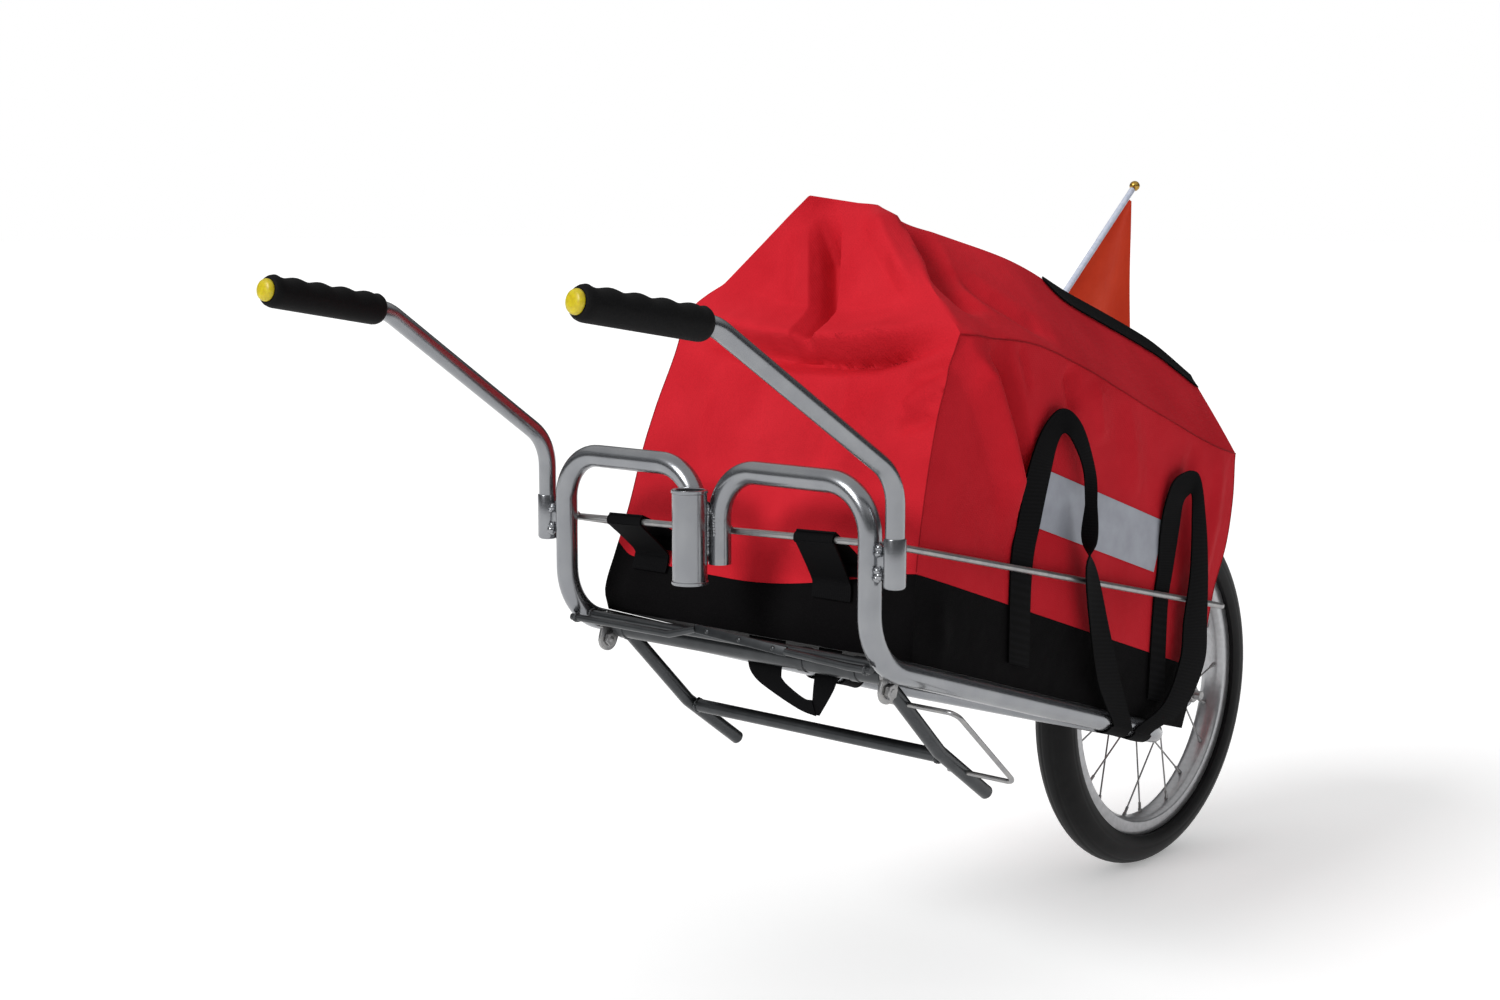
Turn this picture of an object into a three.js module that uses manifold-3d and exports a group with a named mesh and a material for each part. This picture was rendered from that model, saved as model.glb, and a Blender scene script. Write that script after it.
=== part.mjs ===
// Single-wheel bicycle trailer: a bent tube frame on one spoked wheel, with a strapped bag,
// two plug-in cart handles, a folding stand and a flag.
// World frame: +Y points to the rear, +Z is the head tube's axis and up, +X is the left side.
// The origin is the middle of the head tube. Lengths are in millimetres.
import * as THREE from 'three';
import { mergeVertices } from 'three/addons/utils/BufferGeometryUtils.js';
import Module from 'manifold-3d';

const wasm = await Module();
wasm.setup();

// Fits
const seatGap = 0.3;
const cutOverrun = 2;

// Frame tubes. The deck (the plane of the two side rails) drops to the rear.
const deckDrop = THREE.MathUtils.degToRad(17.2);
const frameTubeRadius = 10;
const frameHalfWidth = 177;
const archHeight = 146.5;
const archBendRadius = 42;
const innerLegOffset = 13;
const innerLegFoot = 65;
const cornerBendRadius = 57;
const seamRun = 6;
const rearBendRadius = 60;

// Head tube and the web that joins it to the arches
const headOuterRadius = 15;
const headBoreRadius = 12.5;
const headLength = 81;
const headBottom = 49;
const headOffset = 23.4;
const headLipRadius = 15.8;
const headLipHeight = 3;
const webBottom = 74;
const webHeight = 44;
const webDepth = 16;

// Handle sleeves, welded outside the arches
const sleeveOuterRadius = 9.25;
const sleeveBoreRadius = 8.3;
const sleeveBottom = 65;
const sleeveLength = 41;
const sleeveFloor = 3;
const sleeveCorner = 2.5;
const sleeveStandoff = 6;
const sleeveTabHeight = 26;
const sleeveTabDepth = 9;

// Cart handles
const handleTubeRadius = 8;
const handleToeIn = THREE.MathUtils.degToRad(4.5);
const handleElbowHeight = 155.2;
const handleElbowRadius = 42;
const handleReach = 193;
const handleRise = 125.6;
const gripBendRadius = 40;
const gripSlope = THREE.MathUtils.degToRad(9.3);
const gripStart = 9.5;
const gripLength = 119;
const gripRadius = 13.5;
const gripEndRadius = 10.5;
const gripEndLength = 5;
const capRadius = 9.2;
const capDome = 5;
const capStemLength = 6;

// Front cross members
const frontWireRadius = 3.2;
const frontWireY = 6;
const frontWireInset = 1;
const frontWireEnd = frameHalfWidth - frontWireInset;
const plateFromX = -23;
const plateToX = 84;
const plateHeight = 8;
const plateThickness = 3;
const plateRightZ = 5;
const plateLeftZ = -1;
const wireKinkX = -52;
const wireBendRadius = 18;
const wireLevelInset = 27;
const wireLevelX = frameHalfWidth - wireLevelInset;
const deckBarRadius = 4;
const deckBarY = 21;
const deckBarZ = 2;

// Stand
const pivotY = 50;
const pivotZ = -3;
const pivotTubeRadius = 10;
const standLegRadius = 6.5;
const standLegInset = 26.5;
const standLegX = frameHalfWidth - standLegInset;
const kneeY = 155;
const kneeZ = -58;
const footY = 238;
const footZ = -85.5;
const kneeRadius = 30;
const crossbarRadius = 6.3;
const crossbarY = 165;
const pedalWireRadius = 2.25;
const pedalFrontY = 90;
const pedalRearY = 195;
const pedalReachOut = 56.5;
const pedalReachIn = 14.5;
const pedalOuterX = standLegX + pedalReachOut;
const pedalInnerX = standLegX - pedalReachIn;
const pedalBendRadius = 8;

// Pivot lugs, pivot shaft and stop bolts
const lugThickness = 3.5;
const lugRadius = 11;
const lugTipY = 46;
const lugTipZ = -17;
const lugTopZ = 7;
const pivotShaftRadius = 4;
const pivotBushGap = 0.4;
const stopBoltRadius = 3;
const stopNutRadius = 5.5;
const stopNutHeight = 4.5;

// Rail rod round the bag
const rodRadius = 3;
const rodStandoff = 8;
const rodHalfWidth = frameHalfWidth + rodStandoff;
const rodFrontRiseLeft = 97.5;
const rodFrontRiseRight = 86.5;
const rodRearZ = 138.8;
const rodCornerRadius = 12;
const rodCornerRun = 16;

// Wheel
const wheelZ = 55.65;
const wheelRadius = 200;
const tyreSection = 22;
const tyreWall = 3;
const beadHalfWidth = 12;
const beadRadius = 160.5;
const rimHalfWidth = 14;
const rimHookRadius = 166;
const rimHookWall = 1.7;
const rimBedRadius = 160.2;
const rimShoulderRadius = 151;
const rimInnerRadius = 147;
const rimInnerHalfWidth = 6;
const spokeRadius = 1.3;
const spokesPerSide = 10;
const spokeRimX = 3.5;
const lacingPitches = 2;
const flangeRadius = 24;
const spokeCircle = 19.5;
const flangeX = 26;
const flangeThickness = 4;
const hubRadius = 15;
const axleRadius = 5;
const axleHalfLength = 72;
const spacerRadius = 8.5;
const dropoutX = 50;
const dropoutThickness = 5;
const axleNutRadius = 9;
const axleNutHeight = 9;

// Wheel stays
const stayRadius = 8;
const stayX = 56;
const stayEndShort = 26;
const dropoutRadius = 15;
const dropoutWeb = 18;

// Bag
const bagLayers = 12;
const bagFrontY = 36;
const bagLength = 500;
const bagRearOverTube = 31;
const rearCrossY = bagFrontY + bagLength - bagRearOverTube;
const rodBehindBag = 9;
const rodRearY = bagFrontY + bagLength + rodBehindBag;
const wheelBehindTube = 229.8;
const wheelY = rearCrossY + wheelBehindTube;
const bagOverRail = 1;
const bagHalfWidth = frameHalfWidth + bagOverRail;
const bagFloorZ = 10.4;
const bagSeamHeight = 300;
const bagRoofRise = 110;
const bandFrontHeight = 82;
const bandRearHeight = 71;
const bagCornerPull = 4;
const bagRearDent = 12;
const flapThickness = 3;
const flapLayerShares = [5, 6, 7, 8, 9, 10, 11, 12].map((layer) => layer / bagLayers);
const flapUpperColumn = 0.41;
const flapLowerColumn = 0.52;
const pullerRadius = 2.5;
const pullerLength = 26;
const pullerColumn = 0.3;
const pullerFromShare = 0.42;
const pullerToShare = 0.75;

// Webbing
const webbingThickness = 1.8;
const strapStandoff = 11.5;
const loopWidth = 42;
const loopLeftShare = 0.6215;
const loopRightShare = -0.6328;
const loopLeftDrift = -20;
const loopRightDrift = -10;
const loopHeadDriftShare = 0.6;
const loopHeadZ = 74;
const loopTailZ = 52;
const loopSewn = 12;
const underLoopX = -10;
const underLoopY = 64;
const underLoopWidth = 105;
const underLoopDrop = 60;
const underLoopShares = [
  [0, 0],
  [0.05, 0.4],
  [0.15, 0.6],
  [0.35, 0.75],
  [0.82, 1],
  [0.9, 0.98],
  [1, 0.45],
  [1, 0],
];
const underWindowShares = [[0.4, 0.5], [0.45, 0.56], [0.72, 0.78], [0.8, 0.76], [0.78, 0.5]];

// Flag
const flagLean = THREE.MathUtils.degToRad(32.5);
const poleRadius = 3.7;
const poleLength = 788;
const poleStandoff = 12.5;
const poleX = frameHalfWidth + frameTubeRadius + poleStandoff;
const poleFootShare = 0.74;
const poleFootY = bagFrontY + bagLength * poleFootShare;
const poleFootZ = 4;
const flagBallRadius = 6.4;
const holderBoreRadius = 4.1;
const holderRadius = 5.8;
const holderLength = 46;
const holderFloor = 3;
const holderTabHalf = 4;
const holderTabTop = 12;
const pennantThickness = 1.6;
const pennantHoist = 196;
const pennantFly = 168;
const pennantTip = 6;
const pennantSag = THREE.MathUtils.degToRad(2.7);
const pennantWave = 7;
const pennantDropFromBall = 14;

const tubeSides = 14;
const rodSides = 8;
const bendStep = THREE.MathUtils.degToRad(13);

const finishes = {
  paintedSteel: { color: 0x9a9da2, roughness: 0.35, metalness: 0.6 },
  zincSteel: { color: 0xb9bcc0, roughness: 0.35, metalness: 0.8 },
  alloy: { color: 0xb4b6b9, roughness: 0.3, metalness: 0.9 },
  tyreRubber: { color: 0x1b1b1d, roughness: 0.85, metalness: 0 },
  gripFoam: { color: 0x1f1f21, roughness: 0.9, metalness: 0 },
  capPlastic: { color: 0xc9b80f, roughness: 0.4, metalness: 0 },
  redFabric: { color: 0xd7262f, roughness: 0.8, metalness: 0 },
  blackFabric: { color: 0x1e1f22, roughness: 0.85, metalness: 0 },
  webbing: { color: 0x17181a, roughness: 0.9, metalness: 0 },
  flagFabric: { color: 0xd44630, roughness: 0.8, metalness: 0 },
  polePlastic: { color: 0xc3cadc, roughness: 0.4, metalness: 0 },
};
const materials = Object.fromEntries(
  Object.entries(finishes).map(([name, finish]) => [name, new THREE.MeshStandardMaterial(finish)]),
);

const vec = (x, y, z) => new THREE.Vector3(x, y, z);

// The trailer hangs from the middle of its head tube: everything is placed in two groups
// that share one starting point, the corner where the arch plane meets the deck.
const trailer = new THREE.Group();
const upright = new THREE.Group();
upright.position.set(0, headOffset, -(headBottom + headLength / 2));
const deck = new THREE.Group();
deck.rotation.x = -deckDrop;
upright.add(deck);
trailer.add(upright);

function addPiece(parent, name, geometry, finish) {
  const mesh = new THREE.Mesh(geometry, materials[finish]);
  mesh.name = name;
  parent.add(mesh);
  return mesh;
}

// Deck coordinates of a point in the upright frame
function toDeck(point) {
  return point.clone().applyAxisAngle(vec(1, 0, 0), deckDrop);
}

function bare(geometry) {
  const copy = geometry.clone();
  copy.deleteAttribute('normal');
  copy.deleteAttribute('uv');
  return mergeVertices(copy);
}

function toManifold(geometry) {
  const merged = bare(geometry);
  return new wasm.Manifold(new wasm.Mesh({
    numProp: 3,
    vertProperties: new Float32Array(merged.attributes.position.array),
    triVerts: new Uint32Array(merged.index.array),
  }));
}

function fromManifold(solid) {
  const mesh = solid.getMesh();
  const geometry = new THREE.BufferGeometry();
  geometry.setAttribute('position', new THREE.BufferAttribute(mesh.vertProperties, 3));
  geometry.setIndex(new THREE.BufferAttribute(mesh.triVerts, 1));
  geometry.computeVertexNormals();
  return geometry;
}

function join(first, ...others) {
  return fromManifold(others.reduce((sum, other) => sum.add(toManifold(other)), toManifold(first)));
}

function cut(first, ...tools) {
  return fromManifold(tools.reduce((rest, tool) => rest.subtract(toManifold(tool)), toManifold(first)));
}

// A route of straight runs and round bends, sampled where each run meets its bend
class BentRoute extends THREE.Curve {
  constructor(corners, radii) {
    super();
    this.stations = [];
    const first = corners[1].clone().sub(corners[0]).normalize();
    this.stations.push({ point: corners[0], tangent: first });
    for (let i = 1; i < corners.length - 1; i += 1) {
      this.addBend(corners[i - 1], corners[i], corners[i + 1], radii[i - 1]);
    }
    const end = corners[corners.length - 1];
    const last = end.clone().sub(corners[corners.length - 2]).normalize();
    this.stations.push({ point: end, tangent: last });
  }

  addBend(before, corner, after, radius) {
    const enter = corner.clone().sub(before).normalize();
    const leave = after.clone().sub(corner).normalize();
    const turn = enter.angleTo(leave);
    const setback = radius * Math.tan(turn / 2);
    const start = corner.clone().addScaledVector(enter, -setback);
    const inward = leave.clone().addScaledVector(enter, -leave.dot(enter)).normalize();
    const centre = start.clone().addScaledVector(inward, radius);
    const steps = Math.max(2, Math.ceil(turn / bendStep));
    for (let k = 0; k <= steps; k += 1) {
      const angle = (turn * k) / steps;
      const point = centre.clone().addScaledVector(inward, -radius * Math.cos(angle));
      point.addScaledVector(enter, radius * Math.sin(angle));
      const tangent = enter.clone().multiplyScalar(Math.cos(angle));
      tangent.addScaledVector(inward, Math.sin(angle));
      this.stations.push({ point, tangent });
    }
  }

  stationAt(share) {
    return this.stations[Math.round(share * (this.stations.length - 1))];
  }

  getPoint(share) { return this.stationAt(share).point.clone(); }

  getPointAt(share) { return this.getPoint(share); }

  getTangentAt(share) { return this.stationAt(share).tangent.clone(); }
}

function tubeAlong(corners, radii, radius, sides = tubeSides) {
  const section = new THREE.Shape().absarc(0, 0, radius, 0, Math.PI * 2);
  const route = new BentRoute(corners, radii);
  return new THREE.ExtrudeGeometry(section, {
    steps: route.stations.length - 1,
    curveSegments: sides / 2,
    bevelEnabled: false,
    extrudePath: route,
  });
}

// A cylinder between two points
function bar(from, to, radius, sides = tubeSides) {
  const geometry = new THREE.CylinderGeometry(radius, radius, from.distanceTo(to), sides);
  const turn = new THREE.Quaternion().setFromUnitVectors(vec(0, 1, 0), to.clone().sub(from).normalize());
  geometry.applyQuaternion(turn);
  const middle = from.clone().add(to).multiplyScalar(1 / 2);
  return geometry.translate(middle.x, middle.y, middle.z);
}

// A turned piece: rows of [radius, height] about the +Z axis
function turned(rows, segments = 24) {
  const profile = rows.map(([radius, height]) => new THREE.Vector2(radius, height));
  return new THREE.LatheGeometry(profile, segments).rotateX(Math.PI / 2);
}

// A turned ring: the profile closes on itself
function turnedRing(rows, segments) {
  return turned([...rows, rows[0]], segments);
}

// An outline in the Y-Z plane, extruded along X from fromX
function sidePlate(shape, fromX, thickness, curveSegments = 10) {
  const geometry = new THREE.ExtrudeGeometry(shape, { depth: thickness, bevelEnabled: false, curveSegments });
  const toSide = new THREE.Matrix4().makeBasis(vec(0, 1, 0), vec(0, 0, 1), vec(1, 0, 0));
  return geometry.applyMatrix4(toSide).translate(fromX, 0, 0);
}

function box(fromX, toX, fromY, toY, fromZ, toZ) {
  const geometry = new THREE.BoxGeometry(toX - fromX, toY - fromY, toZ - fromZ);
  return geometry.translate((fromX + toX) / 2, (fromY + toY) / 2, (fromZ + toZ) / 2);
}

const sides = [{ name: 'left', sign: 1 }, { name: 'right', sign: -1 }];

// Arches: inner leg, top and outer post of each side, one bent tube
const cornerSetback = cornerBendRadius * Math.tan((Math.PI / 2 - deckDrop) / 2);
const archFoot = cornerSetback + seamRun;
for (const { name, sign } of sides) {
  const corners = [
    vec(sign * innerLegOffset, 0, innerLegFoot),
    vec(sign * innerLegOffset, 0, archHeight),
    vec(sign * frameHalfWidth, 0, archHeight),
    vec(sign * frameHalfWidth, 0, archFoot + seatGap),
  ];
  const geometry = tubeAlong(corners, [archBendRadius, archBendRadius], frameTubeRadius);
  addPiece(upright, `arch_${name}`, geometry, 'paintedSteel');
}

// Side rails: the corner bend below each arch and the straight rail behind it
const railEndY = rearCrossY - rearBendRadius - seamRun;
for (const { name, sign } of sides) {
  const corners = [
    toDeck(vec(sign * frameHalfWidth, 0, archFoot)),
    vec(sign * frameHalfWidth, 0, 0),
    vec(sign * frameHalfWidth, railEndY, 0),
  ];
  addPiece(deck, `side_rail_${name}`, tubeAlong(corners, [cornerBendRadius], frameTubeRadius), 'paintedSteel');
}

// Rear cross tube, bent round from rail to rail
const rearCorners = [
  vec(frameHalfWidth, railEndY + seatGap, 0),
  vec(frameHalfWidth, rearCrossY, 0),
  vec(-frameHalfWidth, rearCrossY, 0),
  vec(-frameHalfWidth, railEndY + seatGap, 0),
];
const rearCross = tubeAlong(rearCorners, [rearBendRadius, rearBendRadius], frameTubeRadius);
addPiece(deck, 'rear_cross_tube', rearCross, 'paintedSteel');

// Head tube with a lip at each end
const headRows = [
  [headBoreRadius, 0],
  [headLipRadius, 0],
  [headLipRadius, headLipHeight],
  [headOuterRadius, headLipHeight],
  [headOuterRadius, headLength - headLipHeight],
  [headLipRadius, headLength - headLipHeight],
  [headLipRadius, headLength],
  [headBoreRadius, headLength],
];
addPiece(upright, 'head_tube', turnedRing(headRows, 28), 'paintedSteel')
  .position.set(0, -headOffset, headBottom);

// Web between the head tube and the two inner legs
const webHalfWidth = innerLegOffset - frameTubeRadius - seatGap;
const webFront = -headOffset + headOuterRadius + seatGap;
const web = box(-webHalfWidth, webHalfWidth, webFront, webFront + webDepth, webBottom, webBottom + webHeight);
addPiece(upright, 'head_tube_web', web, 'paintedSteel');

// Handle sleeves: closed cups, each with the tab that carries it on its arch
const sleeveX = frameHalfWidth + frameTubeRadius + sleeveStandoff + sleeveOuterRadius;
for (const { name, sign } of sides) {
  const cup = turned([
    [0, 0],
    [sleeveOuterRadius - sleeveCorner, 0],
    [sleeveOuterRadius, sleeveCorner],
    [sleeveOuterRadius, sleeveLength],
    [sleeveBoreRadius, sleeveLength],
    [sleeveBoreRadius, sleeveFloor],
    [0, sleeveFloor],
  ], 24).translate(sign * sleeveX, 0, sleeveBottom);
  const tabFrom = frameHalfWidth + frameTubeRadius + seatGap;
  const tabBottom = sleeveBottom + (sleeveLength - sleeveTabHeight) / 2;
  const tab = box(
    Math.min(sign * tabFrom, sign * sleeveX),
    Math.max(sign * tabFrom, sign * sleeveX),
    -sleeveTabDepth / 2,
    sleeveTabDepth / 2,
    tabBottom,
    tabBottom + sleeveTabHeight,
  );
  const bore = bar(
    vec(sign * sleeveX, 0, sleeveBottom + sleeveFloor),
    vec(sign * sleeveX, 0, sleeveBottom + sleeveLength + cutOverrun),
    sleeveBoreRadius,
    24,
  );
  addPiece(upright, `handle_sleeve_${name}`, cut(join(cup, tab), bore), 'paintedSteel');
}

// Cart handles: tube, foam grip and end cap, turned inward about the sleeve's axis
for (const { name, sign } of sides) {
  const handle = new THREE.Group();
  handle.position.set(sign * sleeveX, 0, 0);
  handle.rotation.z = -sign * handleToeIn;
  upright.add(handle);
  const elbow = vec(0, 0, handleElbowHeight);
  const gripCorner = vec(0, -handleReach, handleElbowHeight + handleRise);
  const gripAxis = vec(0, -Math.cos(gripSlope), Math.sin(gripSlope));
  const tubeEnd = gripStart + gripLength - capStemLength - seatGap;
  const corners = [
    vec(0, 0, sleeveBottom + sleeveFloor + seatGap),
    elbow,
    gripCorner,
    gripCorner.clone().addScaledVector(gripAxis, tubeEnd),
  ];
  const tube = tubeAlong(corners, [handleElbowRadius, gripBendRadius], handleTubeRadius, 16);
  addPiece(handle, `handle_tube_${name}`, tube, 'paintedSteel');
  const gripBore = handleTubeRadius + seatGap;
  const alongGrip = (geometry, distance) => {
    const mesh = geometry.rotateX(Math.PI / 2 - gripSlope);
    const place = gripCorner.clone().addScaledVector(gripAxis, distance);
    return mesh.translate(place.x, place.y, place.z);
  };
  const grip = turnedRing([
    [gripBore, 0],
    [gripEndRadius, 0],
    [gripRadius, gripEndLength],
    [gripRadius, gripLength - gripEndLength],
    [gripEndRadius, gripLength],
    [gripBore, gripLength],
  ], 20);
  addPiece(handle, `grip_${name}`, alongGrip(grip, gripStart), 'gripFoam');
  const cap = turned([
    [0, seatGap - capStemLength],
    [handleTubeRadius, seatGap - capStemLength],
    [handleTubeRadius, seatGap],
    [capRadius, seatGap],
    [capRadius * Math.cos(Math.PI / 4), seatGap + capDome * Math.sin(Math.PI / 4)],
    [0, seatGap + capDome],
  ], 16);
  addPiece(handle, `grip_cap_${name}`, alongGrip(cap, gripStart + gripLength), 'capPlastic');
}

// Front wire under the corner bends, in two lengths that end on the riveted plate
const bendUnderside = (cornerBendRadius + frameTubeRadius) * Math.cos(bendStep / 2);
const wireDistance = bendUnderside + frontWireRadius * Math.cos(Math.PI / rodSides) + seatGap;
const wireZ = cornerBendRadius - Math.sqrt(wireDistance ** 2 - (cornerSetback - frontWireY) ** 2);
const plateSlope = Math.atan2(plateRightZ - plateLeftZ, plateToX - plateFromX);
const wireRise = Math.atan2(plateRightZ - wireZ, plateFromX - wireKinkX);
const wireClearance = seatGap + frontWireRadius * Math.sin(wireRise + plateSlope);
const wireRight = tubeAlong([
  vec(-frontWireEnd, frontWireY, wireZ),
  vec(wireKinkX, frontWireY, wireZ),
  vec(plateFromX - wireClearance, frontWireY, plateRightZ),
], [wireBendRadius], frontWireRadius, rodSides);
addPiece(deck, 'front_wire_right', wireRight, 'paintedSteel');
const plateLength = (plateToX - plateFromX) / Math.cos(plateSlope);
const plate = addPiece(
  deck,
  'riveted_plate',
  new THREE.BoxGeometry(plateLength, plateThickness, plateHeight),
  'paintedSteel',
);
plate.position.set((plateFromX + plateToX) / 2, frontWireY, (plateRightZ + plateLeftZ) / 2);
plate.rotation.y = plateSlope;
const wireLeft = tubeAlong([
  vec(plateToX + plateHeight * Math.sin(plateSlope) + seatGap, frontWireY, plateLeftZ),
  vec(wireLevelX, frontWireY, wireZ),
  vec(frontWireEnd, frontWireY, wireZ),
], [wireBendRadius], frontWireRadius, rodSides);
addPiece(deck, 'front_wire_left', wireLeft, 'paintedSteel');

// Deck bar between the corner bends, behind the wire
const deckBarEnd = frameHalfWidth - frameTubeRadius - seatGap;
const deckBar = bar(vec(-deckBarEnd, deckBarY, deckBarZ), vec(deckBarEnd, deckBarY, deckBarZ), deckBarRadius, rodSides);
addPiece(deck, 'deck_bar', deckBar, 'paintedSteel');

// Pivot lugs: rounded plates welded inside the rails, each with its pivot hole and stop bolt
const lugOuterX = frameHalfWidth - frameTubeRadius - seatGap;
const lugInnerX = lugOuterX - lugThickness;
for (const { name, sign } of sides) {
  const outline = new THREE.Shape();
  outline.moveTo(lugTipY - lugRadius, lugTipZ);
  outline.absarc(lugTipY, lugTipZ, lugRadius, Math.PI, Math.PI * 2);
  outline.lineTo(pivotY + lugRadius, lugTopZ);
  outline.lineTo(lugTipY - lugRadius, lugTopZ);
  outline.closePath();
  for (const [y, z, radius] of [
    [pivotY, pivotZ, pivotShaftRadius + seatGap],
    [lugTipY, lugTipZ, stopBoltRadius + seatGap],
  ]) {
    outline.holes.push(new THREE.Path().absarc(y, z, radius, 0, Math.PI * 2, true));
  }
  const fromX = sign > 0 ? lugInnerX : -lugOuterX;
  addPiece(deck, `pivot_lug_${name}`, sidePlate(outline, fromX, lugThickness, 8), 'zincSteel');
  const alongX = (geometry, x, y, z) => geometry.rotateY(sign * Math.PI / 2).translate(sign * x, y, z);
  const stopBolt = turned([
    [0, -stopNutHeight - seatGap],
    [stopNutRadius, -stopNutHeight - seatGap],
    [stopNutRadius, -seatGap],
    [stopBoltRadius, -seatGap],
    [stopBoltRadius, lugThickness + seatGap],
    [stopNutRadius, lugThickness + seatGap],
    [stopNutRadius, lugThickness + seatGap + stopNutHeight],
    [0, lugThickness + seatGap + stopNutHeight],
  ], 6);
  addPiece(deck, `stop_bolt_${name}`, alongX(stopBolt, lugInnerX, lugTipY, lugTipZ), 'zincSteel');
}

// Fixed pivot shaft between the rails, through both lugs
const shaft = bar(vec(-lugOuterX, pivotY, pivotZ), vec(lugOuterX, pivotY, pivotZ), pivotShaftRadius, 12);
addPiece(deck, 'pivot_shaft', shaft, 'zincSteel');

// Stand: a tube that turns on the shaft, two legs with a knee, a crossbar and a pedal wire
const pivotTubeHalf = lugInnerX - stopNutHeight - seatGap * 2;
const pivotTube = turnedRing([
  [pivotShaftRadius + pivotBushGap, -pivotTubeHalf],
  [pivotTubeRadius, -pivotTubeHalf],
  [pivotTubeRadius, pivotTubeHalf],
  [pivotShaftRadius + pivotBushGap, pivotTubeHalf],
], 20).rotateY(Math.PI / 2).translate(0, pivotY, pivotZ);
addPiece(deck, 'stand_pivot_tube', pivotTube, 'paintedSteel');

const legZAt = (y) => (y < kneeY
  ? pivotZ + ((kneeZ - pivotZ) * (y - pivotY)) / (kneeY - pivotY)
  : kneeZ + ((footZ - kneeZ) * (y - kneeY)) / (footY - kneeY));
for (const { name, sign } of sides) {
  const x = sign * standLegX;
  const knee = vec(x, kneeY, kneeZ);
  const hip = vec(x, pivotY, pivotZ);
  const hipRun = knee.clone().sub(hip).normalize();
  const legTop = hip.addScaledVector(hipRun, pivotTubeRadius + seatGap);
  const leg = tubeAlong([legTop, knee, vec(x, footY, footZ)], [kneeRadius], standLegRadius);
  const holes = sign < 0 ? [] : [pedalFrontY, pedalRearY].map((y) => bar(
    vec(x - standLegRadius - cutOverrun, y, legZAt(y)),
    vec(x + standLegRadius + cutOverrun, y, legZAt(y)),
    pedalWireRadius + seatGap,
    rodSides,
  ));
  addPiece(deck, `stand_leg_${name}`, holes.length ? cut(leg, ...holes) : leg, 'paintedSteel');
}
const crossbarEnd = standLegX - standLegRadius - seatGap;
const crossbar = bar(
  vec(-crossbarEnd, crossbarY, legZAt(crossbarY)),
  vec(crossbarEnd, crossbarY, legZAt(crossbarY)),
  crossbarRadius,
);
addPiece(deck, 'stand_crossbar', crossbar, 'paintedSteel');
const pedalWire = tubeAlong([
  vec(pedalInnerX, pedalFrontY, legZAt(pedalFrontY)),
  vec(pedalOuterX, pedalFrontY, legZAt(pedalFrontY)),
  vec(pedalOuterX, pedalRearY, legZAt(pedalRearY)),
  vec(pedalInnerX, pedalRearY, legZAt(pedalRearY)),
], [pedalBendRadius, pedalBendRadius], pedalWireRadius, rodSides);
addPiece(deck, 'stand_pedal_wire', pedalWire, 'zincSteel');

// Rail rod round the bag, in four lengths that meet just past its corners
const rodFrontOffset = frameTubeRadius + rodRadius + seatGap;
const rodFrontLeft = toDeck(vec(rodHalfWidth, rodFrontOffset, rodFrontRiseLeft));
const rodFrontRight = toDeck(vec(-rodHalfWidth, rodFrontOffset, rodFrontRiseRight));
const rodRear = (sign) => vec(sign * rodHalfWidth, rodRearY, rodRearZ);
const frontRun = rodFrontRight.clone().sub(rodFrontLeft).normalize();
for (const { name, sign } of sides) {
  const front = sign > 0 ? rodFrontLeft : rodFrontRight;
  const corners = [
    front.clone().addScaledVector(frontRun, sign * rodCornerRun),
    front,
    rodRear(sign),
    rodRear(sign).add(vec(-sign * rodCornerRun, 0, 0)),
  ];
  const rod = tubeAlong(corners, [rodCornerRadius, rodCornerRadius], rodRadius, rodSides);
  addPiece(deck, `rail_rod_${name}`, rod, 'zincSteel');
}
const rodSplice = rodCornerRun + seatGap;
const frontRod = bar(
  rodFrontLeft.clone().addScaledVector(frontRun, rodSplice),
  rodFrontRight.clone().addScaledVector(frontRun, -rodSplice),
  rodRadius,
  rodSides,
);
addPiece(deck, 'rail_rod_front', frontRod, 'zincSteel');
const rearRod = bar(
  rodRear(1).add(vec(-rodSplice, 0, 0)),
  rodRear(-1).add(vec(rodSplice, 0, 0)),
  rodRadius,
  rodSides,
);
addPiece(deck, 'rail_rod_rear', rearRod, 'zincSteel');

// Wheel, built about its own axis and laid across the trailer
const wheel = new THREE.Group();
wheel.position.set(0, wheelY, wheelZ);
wheel.rotation.y = Math.PI / 2;
deck.add(wheel);
const wheelSegments = spokesPerSide * 4;
const crownRadius = wheelRadius - tyreSection;

// Rows round the crown, from the side of one neck to the other
const arcRows = (section, neckRadius, count) => Array.from({ length: count }, (_, k) => {
  const neckAngle = -Math.asin((crownRadius - neckRadius) / section);
  const angle = neckAngle + ((Math.PI - neckAngle * 2) * k) / (count - 1);
  return [crownRadius + section * Math.sin(angle), section * Math.cos(angle)];
});
const shoulderRadius = rimHookRadius + seatGap;
const neckRadius = shoulderRadius + tyreWall;
const neckHalfWidth = beadHalfWidth - tyreWall;
const tyreRows = [
  [beadRadius, beadHalfWidth],
  [shoulderRadius, beadHalfWidth],
  ...arcRows(tyreSection, shoulderRadius, 11),
  [shoulderRadius, -beadHalfWidth],
  [beadRadius, -beadHalfWidth],
  [beadRadius, -neckHalfWidth],
  [neckRadius, -neckHalfWidth],
  ...arcRows(tyreSection - tyreWall, neckRadius, 9).reverse(),
  [neckRadius, neckHalfWidth],
  [beadRadius, neckHalfWidth],
].reverse();
addPiece(wheel, 'tyre', turnedRing(tyreRows, wheelSegments), 'tyreRubber');

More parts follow.
